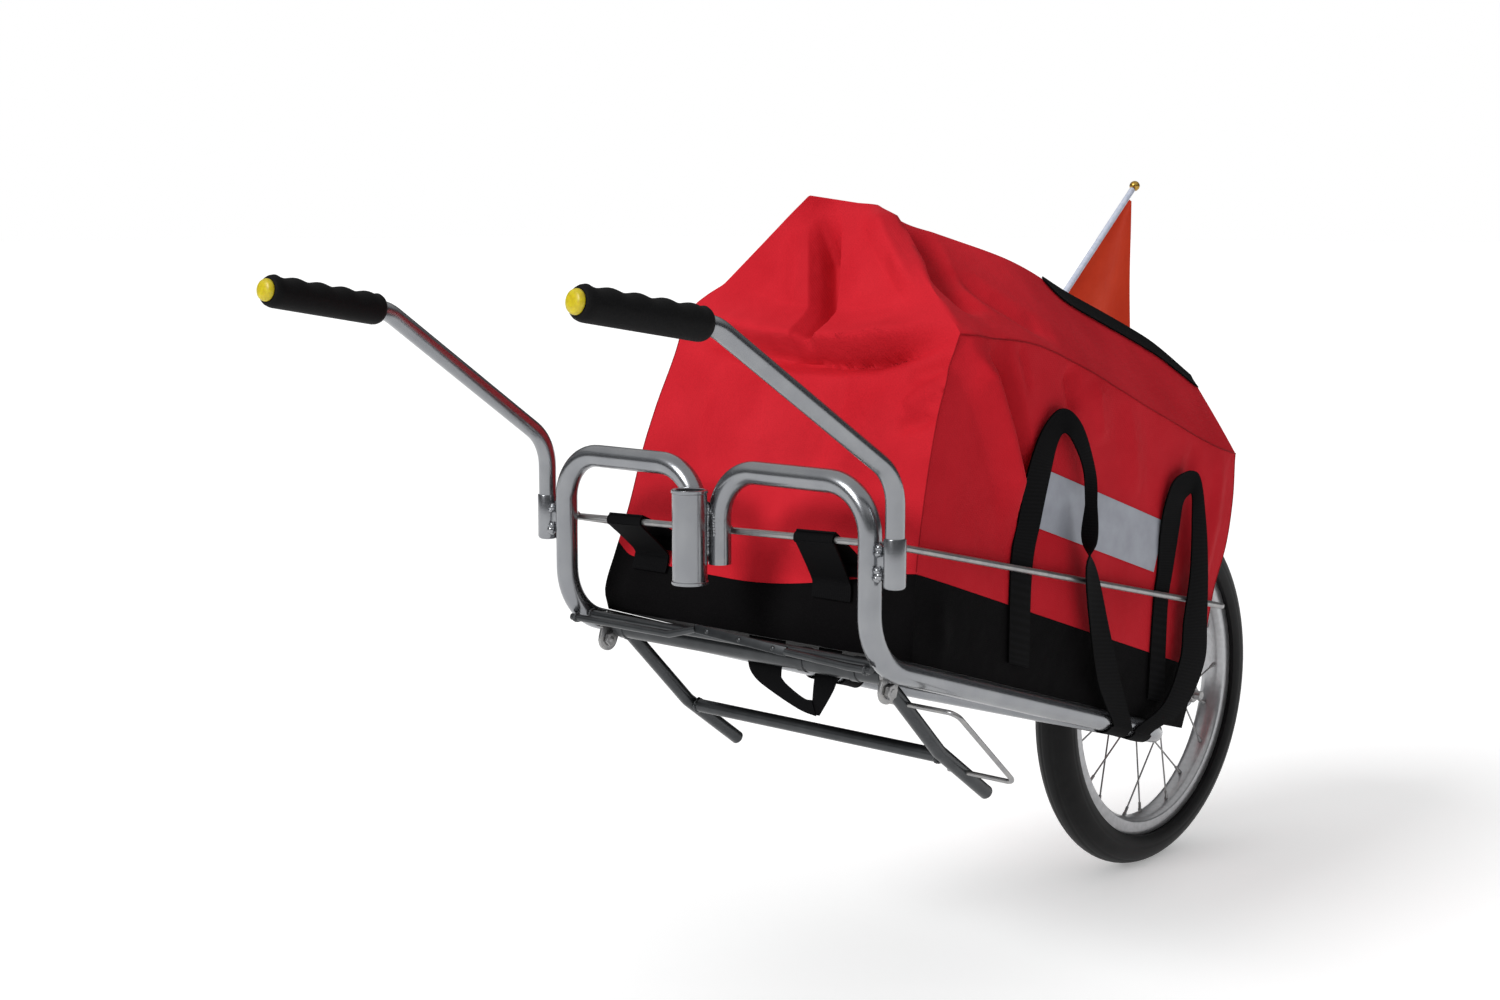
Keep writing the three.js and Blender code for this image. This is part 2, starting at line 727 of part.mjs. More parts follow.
// Inflated tube: it fills the tyre down to the rim bed between the beads
const tubeHalfWidth = neckHalfWidth - seatGap;
const tubeNeckRadius = neckRadius + seatGap;
const innerTubeRows = [
  [beadRadius, tubeHalfWidth],
  [tubeNeckRadius, tubeHalfWidth],
  ...arcRows(tyreSection - tyreWall - seatGap, tubeNeckRadius, 9),
  [tubeNeckRadius, -tubeHalfWidth],
  [beadRadius, -tubeHalfWidth],
].reverse();
addPiece(wheel, 'inner_tube', turnedRing(innerTubeRows, wheelSegments), 'tyreRubber');
const rimRows = [
  [rimInnerRadius, -rimInnerHalfWidth],
  [rimShoulderRadius, -rimHalfWidth],
  [rimHookRadius, -rimHalfWidth],
  [rimHookRadius, rimHookWall - rimHalfWidth],
  [rimBedRadius, rimHookWall - rimHalfWidth],
  [rimBedRadius, rimHalfWidth - rimHookWall],
  [rimHookRadius, rimHalfWidth - rimHookWall],
  [rimHookRadius, rimHalfWidth],
  [rimShoulderRadius, rimHalfWidth],
  [rimInnerRadius, rimInnerHalfWidth],
];
addPiece(wheel, 'rim', turnedRing(rimRows, wheelSegments), 'alloy');

// Each hub flange carries its own ten spokes, laced so that each pair crosses
const hubBore = axleRadius + seatGap;
const spokePitch = (Math.PI * 2) / spokesPerSide;
for (const { name, sign } of sides) {
  const flange = turnedRing([
    [hubBore, -flangeThickness / 2],
    [flangeRadius, -flangeThickness / 2],
    [flangeRadius, flangeThickness / 2],
    [hubBore, flangeThickness / 2],
  ], 24).translate(0, 0, sign * flangeX);
  const spokes = Array.from({ length: spokesPerSide }, (_, k) => {
    const rimAngle = spokePitch * (k + (sign > 0 ? 0 : 1 / 2));
    const lead = k % 2 === 0 ? lacingPitches : -lacingPitches;
    const hubAngle = rimAngle + lead * spokePitch;
    const rimReach = rimInnerRadius - seatGap - spokeRadius / 3;
    return bar(
      vec(spokeCircle * Math.cos(hubAngle), spokeCircle * Math.sin(hubAngle), sign * flangeX),
      vec(rimReach * Math.cos(rimAngle), rimReach * Math.sin(rimAngle), sign * spokeRimX),
      spokeRadius,
      6,
    );
  });
  addPiece(wheel, `spoke_set_${name}`, join(flange, ...spokes), 'zincSteel');
}
const hubHalf = flangeX - flangeThickness / 2 - seatGap;
const hubShell = turnedRing([
  [hubBore, -hubHalf],
  [hubRadius, -hubHalf],
  [hubRadius, hubHalf],
  [hubBore, hubHalf],
], 20);
addPiece(wheel, 'hub_shell', hubShell, 'alloy');

// Fixed axle with a spacer each side, and its nuts outside the dropouts
const spacerFrom = flangeX + flangeThickness / 2 + seatGap;
const spacerTo = dropoutX - seatGap;
const axle = turned([
  [0, -axleHalfLength],
  [axleRadius, -axleHalfLength],
  [axleRadius, -spacerTo],
  [spacerRadius, -spacerTo],
  [spacerRadius, -spacerFrom],
  [axleRadius, -spacerFrom],
  [axleRadius, spacerFrom],
  [spacerRadius, spacerFrom],
  [spacerRadius, spacerTo],
  [axleRadius, spacerTo],
  [axleRadius, axleHalfLength],
  [0, axleHalfLength],
], 16);
addPiece(wheel, 'axle', axle, 'zincSteel');
const nutFrom = dropoutX + dropoutThickness + seatGap;
for (const { name, sign } of sides) {
  const nut = turnedRing([
    [axleRadius + seatGap, -axleNutHeight / 2],
    [axleNutRadius, -axleNutHeight / 2],
    [axleNutRadius, axleNutHeight / 2],
    [axleRadius + seatGap, axleNutHeight / 2],
  ], 12).translate(0, 0, sign * (nutFrom + axleNutHeight / 2));
  addPiece(wheel, `axle_nut_${name}`, nut, 'zincSteel');
}

// Wheel stays: a tube from the rear cross tube and a flat dropout round the axle
for (const { name, sign } of sides) {
  const root = vec(sign * stayX, rearCrossY, 0);
  const hub = vec(sign * stayX, wheelY, wheelZ);
  const run = hub.clone().sub(root).normalize();
  const from = root.clone().addScaledVector(run, frameTubeRadius + seatGap);
  const to = hub.clone().addScaledVector(run, -stayEndShort);
  const tube = bar(from, to, stayRadius);
  const slope = Math.atan2(wheelZ, wheelY - rearCrossY);
  const outline = new THREE.Shape();
  outline.absarc(0, 0, dropoutRadius, -Math.PI / 2, Math.PI / 2);
  outline.lineTo(-stayEndShort - dropoutWeb, stayRadius);
  outline.lineTo(-stayEndShort - dropoutWeb, -stayRadius);
  outline.closePath();
  outline.holes.push(new THREE.Path().absarc(0, 0, axleRadius + seatGap, 0, Math.PI * 2, true));
  const fromX = sign > 0 ? dropoutX : -dropoutX - dropoutThickness;
  const dropout = sidePlate(outline, fromX, dropoutThickness, 6).rotateX(slope).translate(0, wheelY, wheelZ);
  addPiece(deck, `wheel_stay_${name}`, join(tube, dropout), 'paintedSteel');
}

// Bag. A point of it is given by three shares: across (-1 right, 1 left), along (0 front,
// 1 rear) and up (0 bottom, 1 top of that column).
const between = (from, to, share) => from + (to - from) * share;

// Value at a share, from rows of [share, value] joined by straight lines
function readShares(rows, share) {
  const next = rows.findIndex(([at]) => at >= share);
  if (next === 0) return rows[0][1];
  if (next < 0) return rows[rows.length - 1][1];
  const [fromAt, fromValue] = rows[next - 1];
  const [toAt, toValue] = rows[next];
  return between(fromValue, toValue, (share - fromAt) / (toAt - fromAt));
}

// How far the front's left edge, its right edge and the rear face lie behind the bag's front,
// as shares of its length, at heights given as shares of the seam height. The front is twisted:
// its left side leans forward below the seam and its right side leans forward above it.
const frontLeftShares = [
  [0, 0.045],
  [0.1, 0.03],
  [0.3, 0.004],
  [0.63, -0.014],
  [0.85, -0.008],
  [0.96, 0.004],
  [1.38, 0.084],
];
const frontRightShares = [
  [0, 0.02],
  [0.06, 0],
  [0.18, 0.006],
  [0.34, 0.018],
  [0.54, 0.024],
  [0.67, 0.034],
  [0.96, 0.06],
  [1.38, 0.018],
];
const rearFaceShares = [
  [0, 0.975],
  [0.12, 0.985],
  [0.3, 1],
  [0.5, 1.002],
  [0.66, 1.018],
  [0.82, 1.012],
  [0.97, 0.99],
  [1.35, 0.95],
];
// Seam height along the side, and the ridge above it, as shares of the seam and roof heights
const seamShares = [[0, 0.955], [0.24, 1.02], [0.66, 0.985], [0.9, 0.965], [1, 0.975]];
const ridgeShares = [[0, 1], [0.1, 0.95], [0.3, 0.89], [0.8, 0.75], [1, 0.57]];
// Half width of the flat top, as shares of the half width
const topShares = [[0, 0.155], [0.08, 0.2], [0.3, 0.5], [0.55, 0.53], [1, 0.68]];
// Half width of the front at a height, up to the peak
const frontWidthShares = [[0.96, 1], [1.38, 0.155]];

// Columns are even over the flat top and over each slope, so one always runs along the edge
const topColumnShare = 0.4;
function acrossAt(column, along) {
  const flat = readShares(topShares, along);
  const reach = Math.abs(column);
  const share = reach <= topColumnShare
    ? flat * (reach / topColumnShare)
    : between(flat, 1, (reach - topColumnShare) / (1 - topColumnShare));
  return Math.sign(column) * share;
}

function bagTop(column, along) {
  const seam = bagSeamHeight * readShares(seamShares, along);
  const ridge = bagSeamHeight + bagRoofRise * readShares(ridgeShares, along);
  const climb = Math.min(1, (1 - Math.abs(column)) / (1 - topColumnShare));
  return between(seam, ridge, climb);
}

const bandHeight = (column, along) => between(bandFrontHeight, bandRearHeight, along);

const bagLevel = (z) => (z - bagFloorZ) / (bagSeamHeight - bagFloorZ);

function frontFaceY(across, z) {
  const level = bagLevel(z);
  const reach = THREE.MathUtils.clamp(across / readShares(frontWidthShares, level), -1, 1);
  const right = readShares(frontRightShares, level);
  return bagFrontY + bagLength * between(right, readShares(frontLeftShares, level), (reach + 1) / 2);
}

function bagPoint(column, along, z) {
  const across = acrossAt(column, along);
  const frontY = frontFaceY(across, z);
  const dent = bagRearDent * (1 - across * across);
  const rearY = bagFrontY + bagLength * readShares(rearFaceShares, bagLevel(z)) - dent;
  const nearEnd = Math.max(0, (Math.abs(along - 1 / 2) - 1 / 2) * bagLayers + 1);
  const pull = bagCornerPull * nearEnd;
  const x = across * bagHalfWidth - Math.sign(across) * pull * Math.abs(across) ** 6;
  const back = (Math.sign(1 / 2 - along) * pull * Math.abs(across) ** 8) / 2;
  return vec(x, between(frontY, rearY, along) + back, z);
}

// A box bent to the bag's form between a floor and a top
function bagSolid(floorAt, topAt, levels) {
  const geometry = new THREE.BoxGeometry(1, 1, 1, 10, bagLayers, levels);
  const place = geometry.attributes.position;
  for (let i = 0; i < place.count; i += 1) {
    const column = place.getX(i) * 2;
    const along = place.getY(i) + 1 / 2;
    const z = between(floorAt(column, along), topAt(column, along), place.getZ(i) + 1 / 2);
    const point = bagPoint(column, along, z);
    place.setXYZ(i, point.x, point.y, point.z);
  }
  geometry.computeVertexNormals();
  return geometry;
}
addPiece(deck, 'bag_base', bagSolid(() => bagFloorZ, bandHeight, 3), 'blackFabric');
const bodyFloor = (column, along) => bandHeight(column, along) + seatGap;
addPiece(deck, 'bag_body', bagSolid(bodyFloor, bagTop, 8), 'redFabric');

// A flat strip through stations of [first edge, second edge]
function ribbon(stations, thickness) {
  const last = stations.length - 1;
  const geometry = new THREE.BoxGeometry(1, 1, 1, 1, last, 1);
  const place = geometry.attributes.position;
  const middle = ([first, second]) => first.clone().add(second).multiplyScalar(1 / 2);
  for (let i = 0; i < place.count; i += 1) {
    const k = Math.round((place.getY(i) + 1 / 2) * last);
    const [first, second] = stations[k];
    const edge = second.clone().sub(first);
    const path = middle(stations[Math.min(k + 1, last)]).sub(middle(stations[Math.max(k - 1, 0)]));
    const face = edge.clone().cross(path).normalize();
    const point = first.clone().addScaledVector(edge, place.getX(i) + 1 / 2);
    point.addScaledVector(face, thickness * place.getZ(i));
    place.setXYZ(i, point.x, point.y, point.z);
  }
  geometry.computeVertexNormals();
  return geometry;
}

// Storm flap over the zip, on the left slope of the roof
const roofPoint = (column, along) => bagPoint(column, along, bagTop(column, along));
const slopeOut = vec(1, 0, 1).normalize();
const flapLift = flapThickness / 2 + seatGap * 3;
const flapStations = flapLayerShares.map((along) => [
  roofPoint(flapLowerColumn, along).addScaledVector(slopeOut, flapLift),
  roofPoint(flapUpperColumn, along).addScaledVector(slopeOut, flapLift),
]);
addPiece(deck, 'zip_flap', ribbon(flapStations, flapThickness), 'blackFabric');

// Zip puller at the front of the zip, lying on the flat top just inside the flap
const pullerSeat = vec(0, 0, pullerRadius + seatGap * 2);
const pullerFrom = roofPoint(pullerColumn, pullerFromShare).add(pullerSeat);
const pullerRun = roofPoint(pullerColumn, pullerToShare).add(pullerSeat).sub(pullerFrom).normalize();
const pullerTo = pullerFrom.clone().addScaledVector(pullerRun, pullerLength);
addPiece(deck, 'zip_puller', bar(pullerFrom, pullerTo, pullerRadius, rodSides), 'zincSteel');

// Carry straps: each is sewn to the side, turns over above the rod, hangs down outside it and
// wraps under the rail. The front one has a half twist above the rod. Rows give the outer and
// the inner edge of the arch, each as its share of the bag's length, of the seam height and of
// the distance the strap stands off the side.
const strapShares = {
  front: [
    [[0.31, 0.1, 0], [0.375, 0.1, 0]],
    [[0.262, 0.377, 0], [0.328, 0.381, 0]],
    [[0.258, 0.51, 0], [0.326, 0.53, 0]],
    [[0.259, 0.666, 0.05], [0.327, 0.68, 0.05]],
    [[0.272, 0.79, 0.3], [0.322, 0.755, 0.3]],
    [[0.31, 0.865, 0.6], [0.325, 0.795, 0.6]],
    [[0.369, 0.837, 0.9], [0.345, 0.785, 0.9]],
    [[0.43, 0.724, 1.1], [0.395, 0.716, 1]],
    [[0.445, 0.625, 1.5], [0.432, 0.622, 0.7]],
    [[0.448, 0.515, 2], [0.456, 0.515, 0.4]],
    [[0.448, 0.429, 1.5], [0.503, 0.437, 0.9]],
    [[0.52, 0.248, 1], [0.584, 0.264, 1]],
    [[0.58, 0.1, 0.95], [0.66, 0.12, 0.9]],
  ],
  rear: [
    [[0.8, 0.1, 0], [0.862, 0.1, 0]],
    [[0.759, 0.395, 0], [0.811, 0.4, 0]],
    [[0.751, 0.507, 0], [0.805, 0.52, 0]],
    [[0.732, 0.624, 0.1], [0.797, 0.645, 0.1]],
    [[0.724, 0.72, 0.3], [0.786, 0.735, 0.3]],
    [[0.735, 0.805, 0.6], [0.793, 0.768, 0.5]],
    [[0.8, 0.843, 0.9], [0.8, 0.77, 0.7]],
    [[0.85, 0.711, 1.1], [0.808, 0.7, 0.9]],
    [[0.888, 0.56, 1.2], [0.834, 0.531, 1]],
    [[0.92, 0.4, 1.2], [0.843, 0.369, 1]],
    [[0.945, 0.26, 1.1], [0.856, 0.25, 1]],
    [[0.91, 0.1, 0.9], [0.83, 0.1, 0.9]],
  ],
};
const strapWrapShares = { front: [0.66, 0.73], rear: [0.81, 0.75] };
const wrapSteps = 5;
const wrapRadius = (frameTubeRadius + seatGap + webbingThickness / 2) / Math.cos(Math.PI / wrapSteps / 2);
const alongBag = (share) => bagFrontY + bagLength * share;
for (const { name, sign } of sides) {
  for (const [place, rows] of Object.entries(strapShares)) {
    const sideX = bagHalfWidth + seatGap + webbingThickness / 2;
    const stations = rows.map((edges) => edges.map(([along, up, stand]) => vec(
      sign * (sideX + strapStandoff * stand),
      alongBag(along),
      bagSeamHeight * up,
    )));
    for (let k = 0; k <= wrapSteps; k += 1) {
      const angle = (-Math.PI * k) / wrapSteps;
      stations.push(strapWrapShares[place].map((along) => vec(
        sign * (frameHalfWidth + wrapRadius * Math.cos(angle)),
        alongBag(along),
        wrapRadius * Math.sin(angle),
      )));
    }
    stations.push(strapWrapShares[place].map((along) => vec(
      sign * (frameHalfWidth - wrapRadius),
      alongBag(along),
      bagFloorZ - seatGap,
    )));
    addPiece(deck, `carry_strap_${place}_${name}`, ribbon(stations, webbingThickness), 'webbing');
  }
}

// Webbing loops, sewn low on the bag's front face, taken up over the front rod and back down
const loopFaceY = (x, z) => frontFaceY(x / bagHalfWidth, z) - seatGap - webbingThickness;
const rodSpan = rodFrontLeft.x - rodFrontRight.x;
const rodFrontAt = (x) => rodFrontLeft.clone().addScaledVector(frontRun, (rodFrontLeft.x - x) / rodSpan
  * rodFrontLeft.distanceTo(rodFrontRight));
const loopWrapSteps = 4;
const loopRadius = (rodRadius + seatGap + webbingThickness / 2) / Math.cos(Math.PI / loopWrapSteps / 2);
const frontLoops = [
  { name: 'left', middleX: frameHalfWidth * loopLeftShare, tailShift: loopLeftDrift },
  { name: 'right', middleX: frameHalfWidth * loopRightShare, tailShift: loopRightDrift },
];
for (const { name, middleX, tailShift } of frontLoops) {
  const rodX = [middleX - loopWidth / 2, middleX + loopWidth / 2];
  const facePair = (z, shift) => rodX.map((x) => vec(x + shift, loopFaceY(x + shift, z), z));
  const headShift = tailShift * loopHeadDriftShare;
  const stations = [facePair(loopHeadZ, headShift), facePair(loopHeadZ + loopSewn, headShift)];
  for (let k = 0; k <= loopWrapSteps; k += 1) {
    const angle = Math.PI / 2 + (Math.PI * k) / loopWrapSteps;
    stations.push(rodX.map((x) => rodFrontAt(x).add(vec(
      0,
      loopRadius * Math.cos(angle),
      loopRadius * Math.sin(angle),
    ))));
  }
  stations.push(facePair(loopTailZ + loopSewn, tailShift), facePair(loopTailZ, tailShift));
  addPiece(deck, `front_loop_${name}`, ribbon(stations, webbingThickness), 'webbing');
}

// Loose webbing loop that hangs below the bag's floor behind the pivot tube
const underLoopOuter = new THREE.Shape(underLoopShares.map(([across, down]) => new THREE.Vector2(
  underLoopWidth * across,
  bagFloorZ - seatGap - underLoopDrop * down,
)));
underLoopOuter.holes.push(new THREE.Path(underWindowShares.map(([across, down]) => new THREE.Vector2(
  underLoopWidth * across,
  bagFloorZ - seatGap - underLoopDrop * down,
))));
const underLoop = new THREE.ExtrudeGeometry(underLoopOuter, { depth: webbingThickness, bevelEnabled: false });
underLoop.rotateX(Math.PI / 2).translate(underLoopX, underLoopY, 0);
addPiece(deck, 'under_loop', underLoop, 'webbing');

// Flag: a leaning pole in a cup on the right rail, with a ball and a pennant
const poleFoot = vec(-poleX, poleFootY, poleFootZ);
const poleAxis = vec(0, Math.sin(flagLean), Math.cos(flagLean));
const onPole = (distance) => poleFoot.clone().addScaledVector(poleAxis, distance);
const cupGeometry = turned([
  [0, -holderFloor - seatGap],
  [holderRadius, -holderFloor - seatGap],
  [holderRadius, holderLength],
  [holderBoreRadius, holderLength],
  [holderBoreRadius, -seatGap],
  [0, -seatGap],
], 16).rotateX(-flagLean).translate(poleFoot.x, poleFoot.y, poleFoot.z);
const holderTab = box(
  -poleX,
  -frameHalfWidth - frameTubeRadius - seatGap,
  poleFootY - holderTabHalf,
  poleFootY + holderTabHalf,
  poleFootZ - holderTabHalf,
  poleFootZ + holderTabTop,
);
const holderBore = bar(onPole(-seatGap), onPole(holderLength + cutOverrun), holderBoreRadius, 16);
addPiece(deck, 'flag_holder', cut(join(cupGeometry, holderTab), holderBore), 'zincSteel');
addPiece(deck, 'flag_pole', bar(onPole(0), onPole(poleLength), poleRadius, 12), 'polePlastic');
const ball = new THREE.SphereGeometry(flagBallRadius, 14, 10);
const ballAt = onPole(poleLength + seatGap + flagBallRadius);
addPiece(deck, 'flag_ball', ball.translate(ballAt.x, ballAt.y, ballAt.z), 'polePlastic');
const pennant = new THREE.BoxGeometry(1, 1, 1, 10, 8, 1);
const cloth = pennant.attributes.position;
const poleSide = vec(0, Math.cos(flagLean), -Math.sin(flagLean));
const flyRun = vec(0, Math.cos(pennantSag), -Math.sin(pennantSag));
for (let i = 0; i < cloth.count; i += 1) {
  const out = cloth.getX(i) + 1 / 2;
  const down = 1 / 2 - cloth.getY(i);
  const point = onPole(poleLength - pennantDropFromBall - pennantHoist * down);
  point.addScaledVector(poleSide, poleRadius + seatGap);
  point.addScaledVector(flyRun, out * between(pennantTip, pennantFly, down));
  const wave = pennantWave * Math.sin(Math.PI * 2 * out) * down;
  point.x += wave + pennantThickness * cloth.getZ(i);
  cloth.setXYZ(i, point.x, point.y, point.z);
}
pennant.computeVertexNormals();
addPiece(deck, 'pennant', pennant, 'flagFabric');

export default trailer;
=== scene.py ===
# Single-wheel bicycle trailer: the looks of each piece, in metres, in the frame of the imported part.
# +Y points to the rear, +Z is up along the head tube and +X is the left side.
import math
import random

import bmesh
import bpy
from mathutils import Matrix, Vector


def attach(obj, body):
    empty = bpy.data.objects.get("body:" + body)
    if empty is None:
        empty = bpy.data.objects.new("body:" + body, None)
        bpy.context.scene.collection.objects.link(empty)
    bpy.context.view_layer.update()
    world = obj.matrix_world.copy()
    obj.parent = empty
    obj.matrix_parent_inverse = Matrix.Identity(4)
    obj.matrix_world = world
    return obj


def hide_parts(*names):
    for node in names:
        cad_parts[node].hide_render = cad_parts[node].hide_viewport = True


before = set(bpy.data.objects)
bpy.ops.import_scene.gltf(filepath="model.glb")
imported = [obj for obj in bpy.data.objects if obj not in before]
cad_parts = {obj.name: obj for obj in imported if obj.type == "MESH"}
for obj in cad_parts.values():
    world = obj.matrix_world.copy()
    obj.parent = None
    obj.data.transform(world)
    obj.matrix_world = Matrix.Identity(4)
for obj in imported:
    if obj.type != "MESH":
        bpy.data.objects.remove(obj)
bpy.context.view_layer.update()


# The photographer's room: a pale floor that runs out of sight, a white sky and one broad, soft
# sun from the left front, as in a catalogue picture.
FLOOR_Z = -0.4539
FLOOR_REACH = 60
SKY_STRENGTH = 0.66
SUN_STRENGTH = 2.2


def linear(hex_colour):
    """Linear colour from an sRGB hex value."""
    parts = [int(hex_colour[k:k + 2], 16) / 255 for k in (1, 3, 5)]
    return tuple(p / 12.92 if p <= 0.04045 else ((p + 0.055) / 1.055) ** 2.4 for p in parts) + (1,)


def add_node(material, kind, links=(), **settings):
    """Adds a node. Settings are its properties or its sockets, links are (socket, source) pairs."""
    node = material.node_tree.nodes.new(kind)
    for name, value in settings.items():
        if hasattr(node, name):
            setattr(node, name, value)
        else:
            node.inputs[name.replace("_", " ")].default_value = value
    for socket, source in links:
        material.node_tree.links.new(source, node.inputs[socket])
    return node


def new_material(name, colour, roughness, **sockets):
    """A material with its shader's own sockets set."""
    material = bpy.data.materials.new(name)
    material.use_nodes = True
    shader = material.node_tree.nodes["Principled BSDF"]
    shader.inputs["Base Color"].default_value = linear(colour)
    shader.inputs["Roughness"].default_value = roughness
    for socket, value in sockets.items():
        shader.inputs[socket.replace("_", " ")].default_value = value
    return material


def shader_of(material):
    return material.node_tree.nodes["Principled BSDF"]


def mottle(material, source, first, second, low=0.35, high=0.65, source_socket="Fac"):
    """Colours the shader between two hex colours by a pattern's value."""
    ramp = add_node(material, "ShaderNodeValToRGB", [("Fac", source.outputs[source_socket])])
    ramp.color_ramp.elements[0].position = low
    ramp.color_ramp.elements[0].color = linear(first)
    ramp.color_ramp.elements[1].position = high
    ramp.color_ramp.elements[1].color = linear(second)
    material.node_tree.links.new(ramp.outputs["Color"], shader_of(material).inputs["Base Color"])
    return ramp


def emboss(material, height, distance, strength=1.0):
    """Lifts the surface by a height socket, distance in metres."""
    bump = add_node(material, "ShaderNodeBump", [("Height", height)], Distance=distance, Strength=strength)
    material.node_tree.links.new(bump.outputs["Normal"], shader_of(material).inputs["Normal"])
    return bump


# Light table: a matt white acrylic floor lit faintly from below, so that it only carries a soft
# shadow.
floor_paint = new_material("studio_floor_matt_white", "#F7F7F7", 0.95,
                           Emission_Color=linear("#FFFFFF"), Emission_Strength=0.3)
floor_mesh = bmesh.new()
bmesh.ops.create_grid(floor_mesh, x_segments=1, y_segments=1, size=FLOOR_REACH)
bmesh.ops.translate(floor_mesh, verts=floor_mesh.verts, vec=(0, 0, FLOOR_Z))
floor_data = bpy.data.meshes.new("studio_floor")
floor_mesh.to_mesh(floor_data)
floor_mesh.free()
floor_data.materials.append(floor_paint)
floor = bpy.data.objects.new("studio_floor", floor_data)
bpy.context.scene.collection.objects.link(floor)

# The walls are darker than the ceiling, so that bright metal shows dark edges; the camera itself
# sees plain white paper.
sky = bpy.data.worlds.new("studio_sky")
sky.use_nodes = True
sky_light = sky.node_tree.nodes["Background"]
sky_light.inputs["Strength"].default_value = SKY_STRENGTH
sky_place = add_node(sky, "ShaderNodeTexCoord")
sky_height = add_node(sky, "ShaderNodeSeparateXYZ", [("Vector", sky_place.outputs["Generated"])])
sky_ramp = add_node(sky, "ShaderNodeValToRGB", [("Fac", sky_height.outputs["Z"])])
sky_ramp.color_ramp.elements[0].position = 0.28
sky_ramp.color_ramp.elements[0].color = linear("#47494D")
sky_ramp.color_ramp.elements[1].position = 0.6
sky_ramp.color_ramp.elements[1].color = linear("#FFFFFF")
sky.node_tree.links.new(sky_ramp.outputs["Color"], sky_light.inputs["Color"])
paper = add_node(sky, "ShaderNodeBackground", Color=linear("#FFFFFF"), Strength=1.0)
sight = add_node(sky, "ShaderNodeLightPath")
blend = add_node(sky, "ShaderNodeMixShader", [("Fac", sight.outputs["Is Camera Ray"]),
                                              (1, sky_light.outputs[0]), (2, paper.outputs[0])])
sky.node_tree.links.new(blend.outputs[0], sky.node_tree.nodes["World Output"].inputs["Surface"])
bpy.context.scene.world = sky
bpy.context.scene.view_settings.view_transform = "Standard"

sun_data = bpy.data.lights.new("studio_sun", "SUN")
sun_data.energy = SUN_STRENGTH
sun_data.angle = math.radians(24)
sun = bpy.data.objects.new("studio_sun", sun_data)
sun.rotation_euler = (math.radians(58), 0, math.radians(-8))
bpy.context.scene.collection.objects.link(sun)

# Camera at the photograph's place, looking from the left front and slightly down.
camera_data = bpy.data.cameras.new("camera")
camera_data.lens = 50.4
camera_data.sensor_width = 36
camera_data.clip_end = 200
camera = bpy.data.objects.new("camera", camera_data)
camera.location = (1.2160, -1.2777, 0.2678)
camera.rotation_euler = (math.radians(90 - 7.63), 0, math.radians(41.92))
bpy.context.scene.collection.objects.link(camera)
bpy.context.scene.camera = camera


# Frame tubes: 20 mm steel tube, bent cold on a former into two arches that run on as the side
# rails, and a rear cross tube bent round behind the bag. All are powder coated silver.
MM = 0.001
DECK_DROP = math.radians(17.2)
UPRIGHT = Matrix.Translation((0, 23.4 * MM, -89.5 * MM))
DECK = UPRIGHT @ Matrix.Rotation(-DECK_DROP, 4, "X")
FRAME_TUBE_R = 10
HALF_WIDTH = 177
TUBE_WALL = 1.6
INNER_LEG_X = 13
INNER_LEG_FOOT = 65
ARCH_HEIGHT = 146.5
ARCH_BEND = 42
CORNER_BEND = 57
REAR_BEND = 60
REAR_Y = 505
RAIL_END_Y = REAR_Y - REAR_BEND - 6
SIDES = (("left", 1), ("right", -1))


def at(place, x, y, z):
    """A point in metres from millimetres in the upright or the deck frame."""
    return place @ Vector((x * MM, y * MM, z * MM))


def bent_route(corners, radii, step=math.radians(6)):
    """Points and directions along straight runs joined by round bends; radii in millimetres."""
    points = [corners[0]]
    runs = [(corners[1] - corners[0]).normalized()]
    for before, corner, after, radius in zip(corners, corners[1:], corners[2:], radii):
        enter = (corner - before).normalized()
        leave = (after - corner).normalized()
        turn = enter.angle(leave)
        start = corner - enter * radius * MM * math.tan(turn / 2)
        inward = (leave - enter * leave.dot(enter)).normalized()
        centre = start + inward * radius * MM
        count = max(3, math.ceil(turn / step))
        for k in range(count + 1):
            angle = turn * k / count
            out = enter * math.sin(angle) - inward * math.cos(angle)
            points.append(centre + out * radius * MM)
            runs.append(enter * math.cos(angle) + inward * math.sin(angle))
    points.append(corners[-1])
    runs.append((corners[-1] - corners[-2]).normalized())
    return points, runs


def swept_tube(points, runs, radius, sides=28, wall=0, caps=True):
    """A round section drawn along a route. A wall leaves both ends open to that depth of metal."""
    bm = bmesh.new()
    turn = Vector((0, 0, 1)).rotation_difference(runs[0])
    first = Matrix.Translation(points[0]) @ turn.to_matrix().to_4x4()
    made = bmesh.ops.create_circle(bm, segments=sides, radius=radius * MM, matrix=first)
    ring = made["verts"]
    start_edges = list(bm.edges)
    edges = start_edges
    for (p0, p1), (r0, r1) in zip(zip(points, points[1:]), zip(runs, runs[1:])):
        grown = bmesh.ops.extrude_edge_only(bm, edges=edges)["geom"]
        ring = [item for item in grown if isinstance(item, bmesh.types.BMVert)]
        edges = [item for item in grown if isinstance(item, bmesh.types.BMEdge)]
        swing = r0.rotation_difference(r1).to_matrix().to_4x4()
        bmesh.ops.transform(bm, verts=ring, matrix=Matrix.Translation(p1) @ swing @ Matrix.Translation(-p0))
    if caps:
        for loop, outward in ((start_edges, -runs[0]), (edges, runs[-1])):
            face = bmesh.ops.contextual_create(bm, geom=loop)["faces"][0]
            if wall:
                bmesh.ops.inset_individual(bm, faces=[face], thickness=wall * MM)
                sunk = bmesh.ops.extrude_discrete_faces(bm, faces=[face])["faces"]
                bmesh.ops.translate(bm, verts=sunk[0].verts, vec=-outward * radius * 2 * MM)
    return bm


